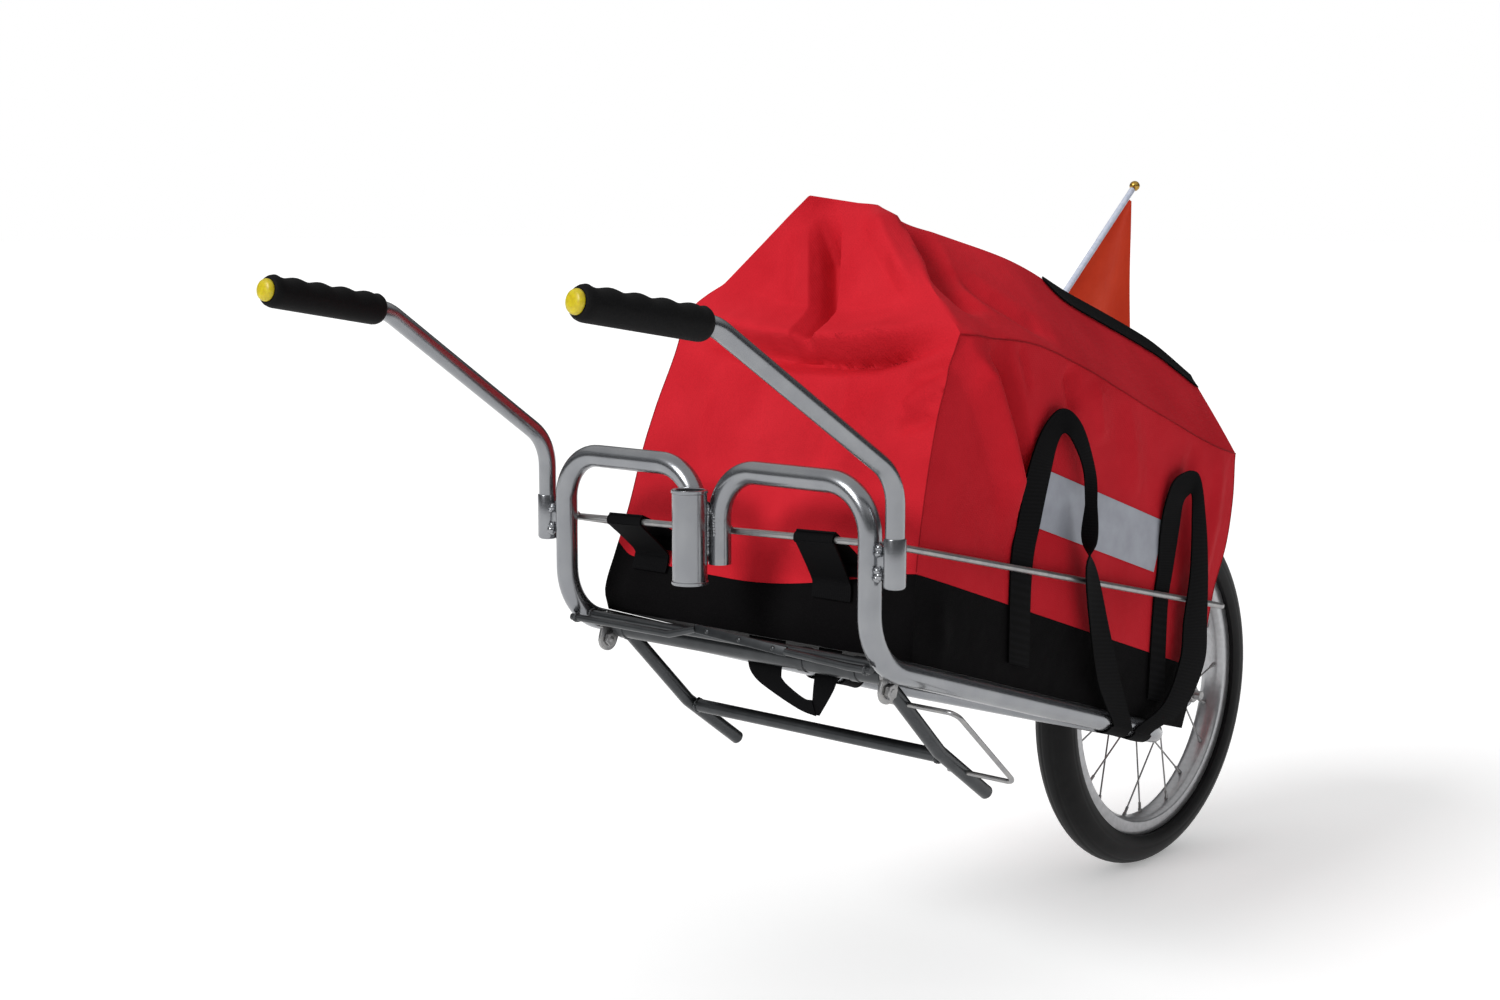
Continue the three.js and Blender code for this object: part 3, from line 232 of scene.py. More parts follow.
def tube(place, corners, radii, radius, sides=28, wall=0):
    """A bent tube through corners given in millimetres."""
    points, runs = bent_route([at(place, *corner) for corner in corners], radii)
    return swept_tube(points, runs, radius, sides, wall)


def make_piece(name, parts, material, body="frame", replaces=(), crease=38):
    """Joins the shapes into one piece, smooths it up to the crease angle and hands it to its body."""
    bm = bmesh.new()
    for part in parts:
        bmesh.ops.remove_doubles(part, verts=part.verts, dist=1e-6)
        bmesh.ops.recalc_face_normals(part, faces=part.faces)
        step = bpy.data.meshes.new(name + "_part")
        part.to_mesh(step)
        part.free()
        bm.from_mesh(step)
        bpy.data.meshes.remove(step)
    mesh = bpy.data.meshes.new(name)
    bm.to_mesh(mesh)
    bm.free()
    mesh.materials.append(material)
    mesh.shade_smooth()
    mesh.set_sharp_from_angle(angle=math.radians(crease))
    piece = bpy.data.objects.new(name, mesh)
    bpy.context.scene.collection.objects.link(piece)
    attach(piece, body)
    if replaces:
        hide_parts(*replaces)
    return piece


def object_noise(material, grain, detail, evenness=0.5):
    """A noise fixed to the piece, its grain in millimetres."""
    place = add_node(material, "ShaderNodeTexCoord")
    return add_node(material, "ShaderNodeTexNoise", [("Vector", place.outputs["Object"])],
                    Scale=1 / (grain * MM), Detail=detail, Roughness=evenness)


def clouded(name, colours, roughness, clouds, relief, fine=None, **sockets):
    """A material in clouds of two colours: colours are (mean, low, high), clouds and fine are the
    (grain, detail) of a noise, and relief is (depth in millimetres, strength)."""
    mean, low, high = colours
    depth, strength = relief
    material = new_material(name, mean, roughness, **sockets)
    cloud = object_noise(material, *clouds)
    mottle(material, cloud, low, high)
    skin = object_noise(material, *fine) if fine else cloud
    emboss(material, skin.outputs["Fac"], depth * MM, strength)
    return material


# Silver powder coat on steel: a thin grey film with fine metal flake, satin rather than mirror,
# with the faint orange peel of a baked coat.
silver_coat = clouded("silver_powder_coat", ("#8A8C8F", "#87898D", "#8F9194"), 0.24, (24, 4), (0.05, 0.5),
                      fine=(2.2, 2), Metallic=0.9, Coat_Weight=0.3, Coat_Roughness=0.12)

for name, sign in SIDES:
    inner, outer = sign * INNER_LEG_X, sign * HALF_WIDTH
    corners = [at(UPRIGHT, inner, 0, INNER_LEG_FOOT), at(UPRIGHT, inner, 0, ARCH_HEIGHT),
               at(UPRIGHT, outer, 0, ARCH_HEIGHT), at(DECK, outer, 0, 0), at(DECK, outer, RAIL_END_Y, 0)]
    route = bent_route(corners, [ARCH_BEND, ARCH_BEND, CORNER_BEND])
    make_piece(f"side_tube_{name}", [swept_tube(*route, FRAME_TUBE_R, 32, wall=TUBE_WALL)], silver_coat,
               replaces=(f"arch_{name}", f"side_rail_{name}"))
# Tubes that butt against each other leave a hair of room for the bead.
BUTT_GAP = 0.3
rear_corners = [(HALF_WIDTH, RAIL_END_Y + BUTT_GAP, 0), (HALF_WIDTH, REAR_Y, 0), (-HALF_WIDTH, REAR_Y, 0),
                (-HALF_WIDTH, RAIL_END_Y + BUTT_GAP, 0)]
rear_tube = tube(DECK, rear_corners, [REAR_BEND, REAR_BEND], FRAME_TUBE_R, 32)
make_piece("rear_cross_tube_bent", [rear_tube], silver_coat,
           replaces=("rear_cross_tube",))


# Head tube: turned steel tube with a rolled lip at each end and a clear bore for the steerer.
HEAD_Y = -23.4
HEAD_BOTTOM = 49


def turned(rows, place, closed=True, steps=40):
    """Rows of (radius, height) in millimetres turned about the place's own Z axis."""
    bm = bmesh.new()
    verts = [bm.verts.new((radius * MM, 0, height * MM)) for radius, height in rows]
    pairs = list(zip(verts, verts[1:])) + ([(verts[-1], verts[0])] if closed else [])
    edges = [bm.edges.new(pair) for pair in pairs]
    bmesh.ops.spin(bm, geom=verts + edges, cent=(0, 0, 0), axis=(0, 0, 1), angle=math.tau, steps=steps,
                   use_merge=True, use_duplicate=False)
    bmesh.ops.remove_doubles(bm, verts=bm.verts, dist=1e-7)
    bmesh.ops.recalc_face_normals(bm, faces=bm.faces)
    bmesh.ops.transform(bm, matrix=place, verts=bm.verts)
    return bm


def standing(place, x, y, z):
    """The place of a turned piece that stands at millimetres in a frame, its axis along Z."""
    return place @ Matrix.Translation((x * MM, y * MM, z * MM))


head_rows = [(12.5, 0.6), (13, 0), (15.4, 0), (15.8, 0.5), (15.8, 2.4), (15.3, 3), (15, 3.2),
             (15, 77.8), (15.3, 78), (15.8, 78.6), (15.8, 80.5), (15.4, 81), (13, 81), (12.5, 80.4)]
head = turned(head_rows, standing(UPRIGHT, 0, HEAD_Y, HEAD_BOTTOM), steps=56)
make_piece("head_tube_turned", [head], silver_coat, replaces=("head_tube",))


# Welds: the steel is hand welded before it is coated, so each joint has a lumpy bead of
# overlapping ripples.
SIDEWAYS = Vector((1, 0, 0))


def weld_bead(points, radius, seed, squeeze=0.75):
    """A row of overlapping ripples through points in metres, radius in millimetres."""
    chance = random.Random(seed)
    bm = bmesh.new()
    for start, end in zip(points, points[1:]):
        count = max(1, round((end - start).length / (radius * 0.4 * MM)))
        for k in range(count):
            spot = start.lerp(end, k / count)
            size = radius * chance.uniform(0.8, 1.15)
            drift = Vector((chance.uniform(-1, 1), chance.uniform(-1, 1), chance.uniform(-1, 1)))
            place = Matrix.Translation(spot + drift * radius * 0.2 * MM)
            stretch = Matrix.Diagonal((0.9, squeeze + 0.25 * chance.random(), 0.9, 1))
            bmesh.ops.create_icosphere(bm, subdivisions=2, radius=size * MM, matrix=place @ stretch)
    return bm


def bead_at(place, radius, seed, *corners):
    """A bead through corners in millimetres of a frame."""
    return weld_bead([at(place, *corner) for corner in corners], radius, seed)


def weld_ring(centre, axis, radius, bead, seed, count=18):
    """A bead round a tube's foot: centre in metres, radius and bead in millimetres."""
    across = axis.orthogonal().normalized()
    other = axis.cross(across).normalized()
    turns = [math.tau * k / count for k in range(count + 1)]
    ring = [centre + (across * math.cos(t) + other * math.sin(t)) * radius * MM for t in turns]
    return weld_bead(ring, bead, seed)


web_welds = []
for seed, (name, sign) in enumerate(SIDES):
    web_welds.append(bead_at(UPRIGHT, 2.3, seed + 1, (sign * 9.2, -11.6, 76), (sign * 9.4, -11.4, 117)))
    web_welds.append(bead_at(UPRIGHT, 3.4, seed + 5, (sign * 5.4, -9, 74), (sign * 5.4, -9, 119)))
web_welds.append(bead_at(UPRIGHT, 2.2, 9, (10, -9, 112), (14, -8.6, 108), (15, -9, 90)))
make_piece("head_tube_welds", web_welds, silver_coat, replaces=("head_tube_web",))


# Handle sleeves: short cups of tube, closed at the foot, tacked to the arch posts by a packing
# piece and two heavy welds. The cart handles drop into them.
SLEEVE_X = 202.25
SLEEVE_BOTTOM = 65
sleeve_rows = [(0, 0), (6.4, 0), (7.8, 0.5), (8.8, 1.5), (9.25, 2.8), (9.25, 40.4), (9, 41), (8.5, 41),
               (8.3, 40.7), (8.3, 3), (0, 3)]


def packing_block(place, low, high, radius=1.2):
    """A small block between two corners in millimetres, with its edges rounded."""
    bm = bmesh.new()
    size = [b - a for a, b in zip(low, high)]
    middle = [(a + b) / 2 * MM for a, b in zip(low, high)]
    spot = place @ Matrix.Translation(middle) @ Matrix.Diagonal((size[0] * MM, size[1] * MM, size[2] * MM, 1))
    bmesh.ops.create_cube(bm, size=1, matrix=spot)
    bmesh.ops.bevel(bm, geom=list(bm.edges), offset=radius * MM, affect="EDGES", segments=3, profile=0.5,
                    material=-1)
    return bm


for seed, (name, sign) in enumerate(SIDES):
    low_x, high_x = sorted((sign * 186, sign * 195))
    parts = [turned(sleeve_rows, standing(UPRIGHT, sign * SLEEVE_X, 0, SLEEVE_BOTTOM), closed=False),
             packing_block(UPRIGHT, (low_x, -4, 72), (high_x, 4, 99)),
             bead_at(UPRIGHT, 3.6, seed + 20, (sign * 190, -5.5, 97), (sign * 190.5, -5.8, 91)),
             bead_at(UPRIGHT, 4.0, seed + 30, (sign * 190, -5.5, 79), (sign * 190.5, -5.8, 71)),
             bead_at(UPRIGHT, 3.2, seed + 40, (sign * 189.4, 5.5, 99), (sign * 189.4, 5.5, 72))]
    make_piece(f"handle_cup_{name}", parts, silver_coat,
               replaces=(f"handle_sleeve_{name}",))


# Cart handles: 16 mm tube with two bends, a moulded foam grip with finger waves along the top,
# and a yellow plastic plug pressed into the end.
HANDLE_R = 8
TOE_IN = math.radians(4.5)
ELBOW_HEIGHT = 155.2
HANDLE_REACH = 193
HANDLE_RISE = 125.6
GRIP_SLOPE = math.radians(9.3)
GRIP_START = 9.5
GRIP_LENGTH = 119
GRIP_R = 13.5
FINGER_WAVES = 4.7
FINGER_DEPTH = 1.9

# Nitrile grip foam: closed-cell, skinned in its mould, so it is matt with a fine pebble.
grip_foam = new_material("nitrile_grip_foam", "#0A0A0B", 0.7, Specular_IOR_Level=0.12)
foam_place = add_node(grip_foam, "ShaderNodeTexCoord")
foam_cells = add_node(grip_foam, "ShaderNodeTexVoronoi", [("Vector", foam_place.outputs["Object"])],
                      Scale=1 / (1.3 * MM))
mottle(grip_foam, foam_cells, "#070708", "#0E0E0F", 0.1, 0.8, "Distance")
emboss(grip_foam, foam_cells.outputs["Distance"], 0.12 * MM, 0.6)

# Injection-moulded polyethylene plug: bright yellow, slightly waxy.
cap_plastic = clouded("moulded_yellow_polyethylene", ("#CDBB12", "#B8A30A", "#C9B60F"), 0.38, (3, 3),
                      (0.05, 0.4), Subsurface_Weight=0.08)

for name, sign in SIDES:
    handle = standing(UPRIGHT, sign * SLEEVE_X, 0, 0) @ Matrix.Rotation(-sign * TOE_IN, 4, "Z")
    grip_corner = Vector((0, -HANDLE_REACH, ELBOW_HEIGHT + HANDLE_RISE))
    grip_axis = Vector((0, -math.cos(GRIP_SLOPE), math.sin(GRIP_SLOPE)))
    tube_end = grip_corner + grip_axis * (GRIP_START + GRIP_LENGTH - 6.3)
    corners = [(0, 0, 68.3), (0, 0, ELBOW_HEIGHT), tuple(grip_corner), tuple(tube_end)]
    make_piece(f"handle_bar_{name}", [tube(handle, corners, [42, 40], HANDLE_R, 28)], silver_coat,
               f"handle_{name}", (f"handle_tube_{name}",))
    spot = grip_corner + grip_axis * GRIP_START
    grip_place = standing(handle, *spot) @ Matrix.Rotation(math.pi / 2 - GRIP_SLOPE, 4, "X")
    rows = [(8.3, 0.4), (9.6, 0), (10.8, 0.5), (12.2, 2), (13.1, 4.2), (13.5, 7)]
    rows += [(GRIP_R, 7 + (GRIP_LENGTH - 15) * k / 52) for k in range(1, 53)]
    rows += [(13.3, 113.5), (12.6, 116.2), (11.4, 118.2), (10, 119), (8.4, 118.8)]
    grip = turned(rows, Matrix.Identity(4), steps=44)
    for vert in grip.verts:
        along = vert.co.z / (GRIP_LENGTH * MM)
        radius = math.hypot(vert.co.x, vert.co.y)
        top = max(0.0, vert.co.y / radius) ** 0.7
        wave = (1 - math.cos(math.tau * (FINGER_WAVES * along + 0.35))) / 2
        inset = FINGER_DEPTH * MM * top * wave * (1 if radius > 12 * MM and 0.04 < along < 0.95 else 0)
        vert.co.x *= 1 - inset / radius
        vert.co.y *= 1 - inset / radius
    bmesh.ops.transform(grip, matrix=grip_place, verts=grip.verts)
    make_piece(f"grip_foam_{name}", [grip], grip_foam, f"handle_{name}", (f"grip_{name}",))
    cap_rows = [(0, 113.3), (7.7, 113.3), (7.9, 113.8), (7.9, 119.3), (9, 119.3), (9.2, 119.9),
                (9.1, 121.2), (8.2, 122.9), (6.4, 123.9), (3.4, 124.3), (0, 124.3)]
    make_piece(f"grip_plug_{name}", [turned(cap_rows, grip_place, closed=False, steps=36)], cap_plastic,
               f"handle_{name}", (f"grip_cap_{name}",))


# Front cross members under the corner bends: two wires that end on a small riveted plate, and a
# round deck bar just behind them, all welded between the bends.
WIRE_R = 3.2
WIRE_Y = 6
WIRE_Z = -4
PLATE_RIGHT = Vector((-23, WIRE_Y, 5))
PLATE_LEFT = Vector((84, WIRE_Y, -1))
BAR_END, BAR_Y, BAR_Z, BAR_R = 166.7, 21, 2, 4

# Grey stove enamel on the small cross members and the stand. Its grey is made much darker than the
# coat of the frame: painted shade, because these parts lie in the shade under the bag and deck.
stand_coat_painted_shade = clouded("grey_enamel_painted_shade", ("#3A3C3E", "#37393B", "#3F4143"), 0.36, (18, 4), (0.1, 0.4),
                     Metallic=0.8, Coat_Weight=0.2, Coat_Roughness=0.2)

far_corners = [(-176, WIRE_Y, WIRE_Z), (-52, WIRE_Y, WIRE_Z), (-22, WIRE_Y, 4.6)]
near_corners = [(83, WIRE_Y, -1), (150, WIRE_Y, WIRE_Z), (176, WIRE_Y, WIRE_Z)]
for name, side, corners, weld_x, seed in (("far", "right", far_corners, -170, 51),
                                          ("near", "left", near_corners, 170, 52)):
    wire = tube(DECK, corners, [18], WIRE_R, 18)
    bead = weld_ring(at(DECK, weld_x, WIRE_Y, WIRE_Z), SIDEWAYS, 2.6, 2.2, seed)
    make_piece(f"front_wire_{name}", [wire, bead], stand_coat_painted_shade,
               replaces=(f"front_wire_{side}",))

plate_fall = PLATE_LEFT - PLATE_RIGHT
plate_slope = math.atan2(-plate_fall.z, plate_fall.x)
plate_place = standing(DECK, *(PLATE_RIGHT + plate_fall / 2)) @ Matrix.Rotation(plate_slope, 4, "Y")
plate_parts = [packing_block(plate_place, (-53.5, -1.5, -4), (53.5, 1.5, 4), 0.7)]
rivet_rows = [(0, 1.3), (1.2, 1.2), (2.1, 0.7), (2.5, 0), (2.5, -0.6), (0, -0.6)]
for along in (-38, 0, 39):
    rivet_place = standing(plate_place, along, -1.4, 0) @ Matrix.Rotation(math.pi / 2, 4, "X")
    plate_parts.append(turned(rivet_rows, rivet_place, closed=False, steps=20))
make_piece("riveted_strip", plate_parts, stand_coat_painted_shade, replaces=("riveted_plate",))

deck_bar = tube(DECK, [(-BAR_END, BAR_Y, BAR_Z), (BAR_END, BAR_Y, BAR_Z)], [], BAR_R, 20)
bar_welds = [weld_ring(at(DECK, sign * 166, BAR_Y, BAR_Z), SIDEWAYS, BAR_R, 1.8, 60 + sign)
             for name, sign in SIDES]
make_piece("deck_bar_round", [deck_bar] + bar_welds, stand_coat_painted_shade, replaces=("deck_bar",))


# Pivot lugs and their bolts: rounded zinc-plated plates welded inside the rails, a pivot shaft
# through both, and a hexagon-headed stop bolt low on each.
LUG_INNER_X = 163.2
LUG_OUTER_X = 166.7
PIVOT_Y = 50
PIVOT_Z = -3
BOLT_Y = 46
BOLT_Z = -17

# Zinc plate on mild steel: bright grey with cloudy crystals and a dull yellow tinge in places.
zinc_plate = clouded("zinc_plated_steel", ("#98999B", "#8E8E90", "#9F9E9C"), 0.33, (9, 6, 0.65), (0.06, 0.5),
                     Metallic=0.85)


def cut_plate(outline, shift, radius):
    """A plate: its outline in metres as a face, drawn out by shift, with its edges broken."""
    bm = bmesh.new()
    face = bmesh.ops.contextual_create(bm, geom=[bm.verts.new(point) for point in outline])["faces"][0]
    drawn = bmesh.ops.extrude_face_region(bm, geom=[face])["geom"]
    bmesh.ops.translate(bm, verts=[item for item in drawn if isinstance(item, bmesh.types.BMVert)], vec=shift)
    rim = [edge for edge in bm.edges if edge.is_manifold and edge.calc_face_angle(0) > 1.0]
    bmesh.ops.bevel(bm, geom=rim, offset=radius * MM, affect="EDGES", segments=2, profile=0.5, material=-1)
    return bm


def lug_plate(from_x, to_x):
    """The lug: square at the top, round at the foot."""
    arc = [math.pi + math.pi * k / 12 for k in range(13)]
    outline = [(BOLT_Y + 11 * math.cos(a), BOLT_Z + 11 * math.sin(a)) for a in arc] + [(61, 7), (35, 7)]
    return cut_plate([at(DECK, from_x, y, z) for y, z in outline], SIDEWAYS * (to_x - from_x) * MM, 0.6)


def across(sign, x, y, z):
    """The place of a turned piece whose axis runs outwards along X."""
    return standing(DECK, sign * x, y, z) @ Matrix.Rotation(sign * math.pi / 2, 4, "Y")


def hexagon_nut(place, radius, low, high, bore=0):
    """A hexagon head or nut: six flats, its top and bottom corners turned off."""
    inner = [(bore, low), (radius * 0.9, low)]
    outer = [(radius, low + 0.5), (radius, high - 0.5), (radius * 0.9, high)]
    return turned(inner + outer + [(bore, high)], place, closed=bool(bore), steps=6)


for seed, (name, sign) in enumerate(SIDES):
    parts = [lug_plate(sign * LUG_INNER_X, sign * LUG_OUTER_X)]
    parts.append(bead_at(DECK, 1.9, seed + 70, (sign * 163.5, 37, 6.5), (sign * 163.5, 60, 6.5)))
    parts.append(bead_at(DECK, 1.9, seed + 75, (sign * 165, 34.8, 5), (sign * 165, 34.8, -8)))
    make_piece(f"pivot_lug_plate_{name}", parts, zinc_plate, replaces=(f"pivot_lug_{name}",))
    bolt = across(sign, LUG_INNER_X, BOLT_Y, BOLT_Z)
    shank_rows = [(0, -3.8), (2.6, -3.8), (3, -3.5), (3, 8.3), (2.5, 8.8), (0, 8.8)]
    bolt_parts = [hexagon_nut(bolt, 7, -3.6, -0.3), hexagon_nut(bolt, 7, 3.8, 8.3),
                  turned(shank_rows, bolt, closed=False, steps=20)]
    make_piece(f"stop_bolt_hex_{name}", bolt_parts, zinc_plate,
               replaces=(f"stop_bolt_{name}",))
shaft_rows = [(0, -166.7), (3.6, -166.7), (4, -166.3), (4, 166.3), (3.6, 166.7), (0, 166.7)]
shaft = turned(shaft_rows, across(1, 0, PIVOT_Y, PIVOT_Z), closed=False, steps=24)
make_piece("pivot_shaft_round", [shaft], zinc_plate, replaces=("pivot_shaft",))


# Stand: a tube that swings on the shaft, two kneed legs welded to it, a crossbar between their
# knees and a bent wire pedal through the left leg.
PIVOT_TUBE_R = 10
LEG_X = 150.5
LEG_R = 6.5
KNEE = (155, -58)
FOOT = (238, -85.5)
CROSS_Y = 165
CROSS_END = 143.7
PEDAL_FRONT, PEDAL_REAR = 90, 195
PEDAL_INNER, PEDAL_OUTER = 136, 207


def leg_z(y):
    """Height of the leg's axis, in the deck frame."""
    if y < KNEE[0]:
        return PIVOT_Z + (KNEE[1] - PIVOT_Z) * (y - PIVOT_Y) / (KNEE[0] - PIVOT_Y)
    return KNEE[1] + (FOOT[1] - KNEE[1]) * (y - KNEE[0]) / (FOOT[0] - KNEE[0])


pivot_rows = [(4.4, -157.9), (9.4, -157.9), (10, -157.3), (10, 157.3), (9.4, 157.9), (4.4, 157.9)]
collar_rows = [(9.9, -4), (10.9, -3.6), (10.9, 3.6), (9.9, 4)]
stand_parts = [turned(pivot_rows, across(1, 0, PIVOT_Y, PIVOT_Z), steps=36)]
stand_parts += [turned(collar_rows, across(1, x, PIVOT_Y, PIVOT_Z), steps=36) for x in (70, 128, -148)]
make_piece("stand_tube", stand_parts, stand_coat_painted_shade, "stand", ("stand_pivot_tube",))
for seed, (name, sign) in enumerate(SIDES):
    x = sign * LEG_X
    run = Vector((0, KNEE[0] - PIVOT_Y, KNEE[1] - PIVOT_Z)).normalized()
    top = Vector((x, PIVOT_Y, PIVOT_Z)) + run * (PIVOT_TUBE_R + BUTT_GAP)
    leg = tube(DECK, [top, (x, *KNEE), (x, *FOOT)], [30], LEG_R, 26, wall=1.2)
    bead = weld_ring(at(DECK, *top), DECK.to_3x3() @ run, LEG_R, 1.4, seed + 80)
    make_piece(f"stand_leg_bent_{name}", [leg, bead], stand_coat_painted_shade,
               "stand", (f"stand_leg_{name}",))
cross_z = leg_z(CROSS_Y)
cross_parts = [tube(DECK, [(-CROSS_END, CROSS_Y, cross_z), (CROSS_END, CROSS_Y, cross_z)], [], 6.3, 26)]
for seed, (name, sign) in enumerate(SIDES):
    cross_parts.append(weld_ring(at(DECK, sign * 144, CROSS_Y, cross_z), SIDEWAYS, 5.8, 1.9, seed + 85))
make_piece("stand_cross_tube", cross_parts, stand_coat_painted_shade, "stand", ("stand_crossbar",))
pedal_corners = [(x, y, leg_z(y)) for x, y in ((PEDAL_INNER, PEDAL_FRONT), (PEDAL_OUTER, PEDAL_FRONT),
                                               (PEDAL_OUTER, PEDAL_REAR), (PEDAL_INNER, PEDAL_REAR))]
pedal = tube(DECK, pedal_corners, [9, 9], 2.25, 16)
pedal_welds = [bead_at(DECK, 2.6, 90 + y, (143, y, leg_z(y) + 1), (139, y, leg_z(y) + 2))
               for y in (PEDAL_FRONT, PEDAL_REAR)]
make_piece("stand_foot_wire", [pedal] + pedal_welds, zinc_plate,
           "stand", ("stand_pedal_wire",))


# Rail rod: one 6 mm rod bent round the bag, welded to the arch posts in front and standing clear
# of the sides. Its ends run past the rear corners and are turned in.
ROD_R = 3
ROD_X = 185
ROD_REAR = (545, 138.8)
ROD_TURN_IN = 16
TO_DECK = Matrix.Rotation(DECK_DROP, 4, "X")
ROD_FRONT_LEFT = TO_DECK @ Vector((ROD_X, 13.3, 97.5))
ROD_FRONT_RIGHT = TO_DECK @ Vector((-ROD_X, 13.3, 86.5))
front_run = (ROD_FRONT_RIGHT - ROD_FRONT_LEFT).normalized()
for (name, sign), front in zip(SIDES, (ROD_FRONT_LEFT, ROD_FRONT_RIGHT)):
    corners = [front + front_run * sign * ROD_TURN_IN, front, (sign * ROD_X, *ROD_REAR),
               (sign * (ROD_X - ROD_TURN_IN), *ROD_REAR)]
    make_piece(f"rail_rod_run_{name}", [tube(DECK, corners, [12, 12], ROD_R, 18)], zinc_plate,
               replaces=(f"rail_rod_{name}",))
front_ends = [ROD_FRONT_LEFT + front_run * ROD_TURN_IN, ROD_FRONT_RIGHT - front_run * ROD_TURN_IN]
rod_welds = [bead_at(DECK @ TO_DECK, 2.4, 95 + x, (x, 10.8, s), (x + 3, 10.8, s + 3))
             for x, s in ((13, 93.5), (-13, 92.6), (176, 97.4), (-176, 87.0))]
make_piece("rail_rod_front_run", [tube(DECK, front_ends, [], ROD_R, 18)] + rod_welds, zinc_plate,
           replaces=("rail_rod_front",))
rear_ends = [(ROD_X - ROD_TURN_IN, *ROD_REAR), (ROD_TURN_IN - ROD_X, *ROD_REAR)]
make_piece("rail_rod_rear_run", [tube(DECK, rear_ends, [], ROD_R, 18)], zinc_plate,
           replaces=("rail_rod_rear",))


# Wheel: a 16 inch alloy rim, rubber tyre and tube on twenty crossed spokes, turning on a fixed
# axle between the dropouts of two stays.
WHEEL_Y = 734.8
WHEEL_Z = 55.65
CROWN = 178
TYRE_R = 22
SPOKES = 10
FLANGE_X = 26
hub_place = across(1, 0, WHEEL_Y, WHEEL_Z)

# Vulcanised tyre rubber: near black, matt, with a faint mould texture; its crown is dusty, and faint
# greyer clouds are spread over the whole tyre.
tyre_rubber = clouded("vulcanised_tyre_rubber", ("#0A0A0B", "#080809", "#0F0F10"), 0.5, (14, 5), (0.1, 0.5),
                      fine=(1.2, 2), Specular_IOR_Level=0.18)

# Extruded aluminium rim, polished and clear anodised: pale and soft, with a drawn grain.
rim_alloy = clouded("anodised_aluminium_rim", ("#ADAEB0", "#A6A7A9", "#B2B3B5"), 0.3, (6, 5), (0.04, 0.4),
                    Metallic=0.8)


def casing_arc(radius, neck_radius, count):
    """Rows round the crown on one section radius, from the side of one neck to the other."""
    start = math.acos((CROWN - neck_radius) / radius)
    turns = [start + (math.tau - start * 2) * k / count for k in range(count + 1)]
    return [(CROWN - radius * math.cos(t), radius * math.sin(t)) for t in turns]


tread_rows = []
for row in casing_arc(TYRE_R, 166.3, 60):
    off_crown = abs(math.atan2(row[1], row[0] - CROWN))
    groove = 0.6 if abs(off_crown - 0.28) < 0.03 or abs(off_crown - 0.72) < 0.03 else 0
    lip = 0.4 if abs(off_crown - 1.55) < 0.035 else 0
    shrink = (TYRE_R - groove - lip) / TYRE_R
    tread_rows.append((CROWN + (row[0] - CROWN) * shrink, row[1] * shrink))
tyre_rows = [(160.5, 12), (166.3, 12)] + tread_rows + [(166.3, -12), (160.5, -12), (160.5, -9), (169.3, -9)]
tyre_rows += list(reversed(casing_arc(19, 169.3, 30))) + [(169.3, 9), (160.5, 9)]
make_piece("tyre_moulded", [turned(tyre_rows, hub_place, steps=96)], tyre_rubber,
           "wheel", ("tyre",), 50)
tube_rows = [(160.5, 8.7), (169.6, 8.7)] + casing_arc(18.7, 169.6, 30) + [(169.6, -8.7), (160.5, -8.7)]
make_piece("inner_tube_round", [turned(tube_rows, hub_place, steps=72)], tyre_rubber,
           "wheel", ("inner_tube",))
half_rim = [(160.2, 11), (160.4, 12.1), (165.6, 12.3), (166, 12.6), (166, 13.6), (165.4, 14),
            (152.6, 14), (151.4, 13.8), (150.2, 12.6), (148.2, 9), (147, 6)]
rim_rows = [(radius, -x) for radius, x in reversed(half_rim)] + half_rim
valve_place = hub_place @ Matrix.Rotation(math.radians(162), 4, "Z") @ Matrix.Rotation(-math.pi / 2, 4, "Y")
valve_rows = [(0, -120), (1.8, -120), (2.3, -120.6), (2.3, -131), (1.9, -131.4), (1.9, -134), (2.9, -134.4),
              (2.9, -147.5), (0, -147.5)]
rim_parts = [turned(rim_rows, hub_place, steps=96), turned(valve_rows, valve_place, closed=False, steps=16)]
make_piece("rim_extruded", rim_parts, rim_alloy, "wheel", ("rim",))

flange_rows = [(5.3, -1.4), (22.6, -1.4), (24, -0.7), (24, 0.7), (22.6, 1.4), (5.3, 1.4)]
nipple_rows = [(0, 0), (1.2, 0), (1.7, 0.6), (1.7, 7), (2.3, 8), (2.3, 12.5), (0, 12.5)]
head_rows = [(0, -1), (2, -0.8), (2.2, 0), (1.6, 0.8), (0, 1)]
for name, sign in SIDES:
    parts = [turned(flange_rows, standing(hub_place, 0, 0, sign * FLANGE_X), steps=48)]
    for k in range(SPOKES):
        rim_turn = math.tau / SPOKES * (k + (0 if sign > 0 else 0.5))
        hub_turn = rim_turn + (2 if k % 2 == 0 else -2) * math.tau / SPOKES
        hub_end = Vector((19.5 * math.cos(hub_turn), 19.5 * math.sin(hub_turn), sign * FLANGE_X))
        rim_end = Vector((146.6 * math.cos(rim_turn), 146.6 * math.sin(rim_turn), sign * 3.5))
        run = (rim_end - hub_end).normalized()
        ends = [at(hub_place, *hub_end), at(hub_place, *rim_end)]
        parts.append(swept_tube(ends, [(hub_place.to_3x3() @ run).normalized()] * 2, 1, 10))
        swing = run.to_track_quat("Z", "Y").to_matrix().to_4x4()
        nipple = standing(hub_place, *(rim_end - run * 11)) @ swing
        parts.append(turned(nipple_rows, nipple, closed=False, steps=10))
        head = standing(hub_place, hub_end.x, hub_end.y, hub_end.z + sign * 1.2)
        parts.append(turned(head_rows, head, closed=False, steps=12))
    make_piece(f"spokes_laced_{name}", parts, zinc_plate, "wheel", (f"spoke_set_{name}",))
hub_rows = [(5.3, -23.7), (16.5, -23.7), (17.2, -22.4), (15.2, -19.5), (14.4, -10), (14.4, 10), (15.2, 19.5),
            (17.2, 22.4), (16.5, 23.7), (5.3, 23.7)]
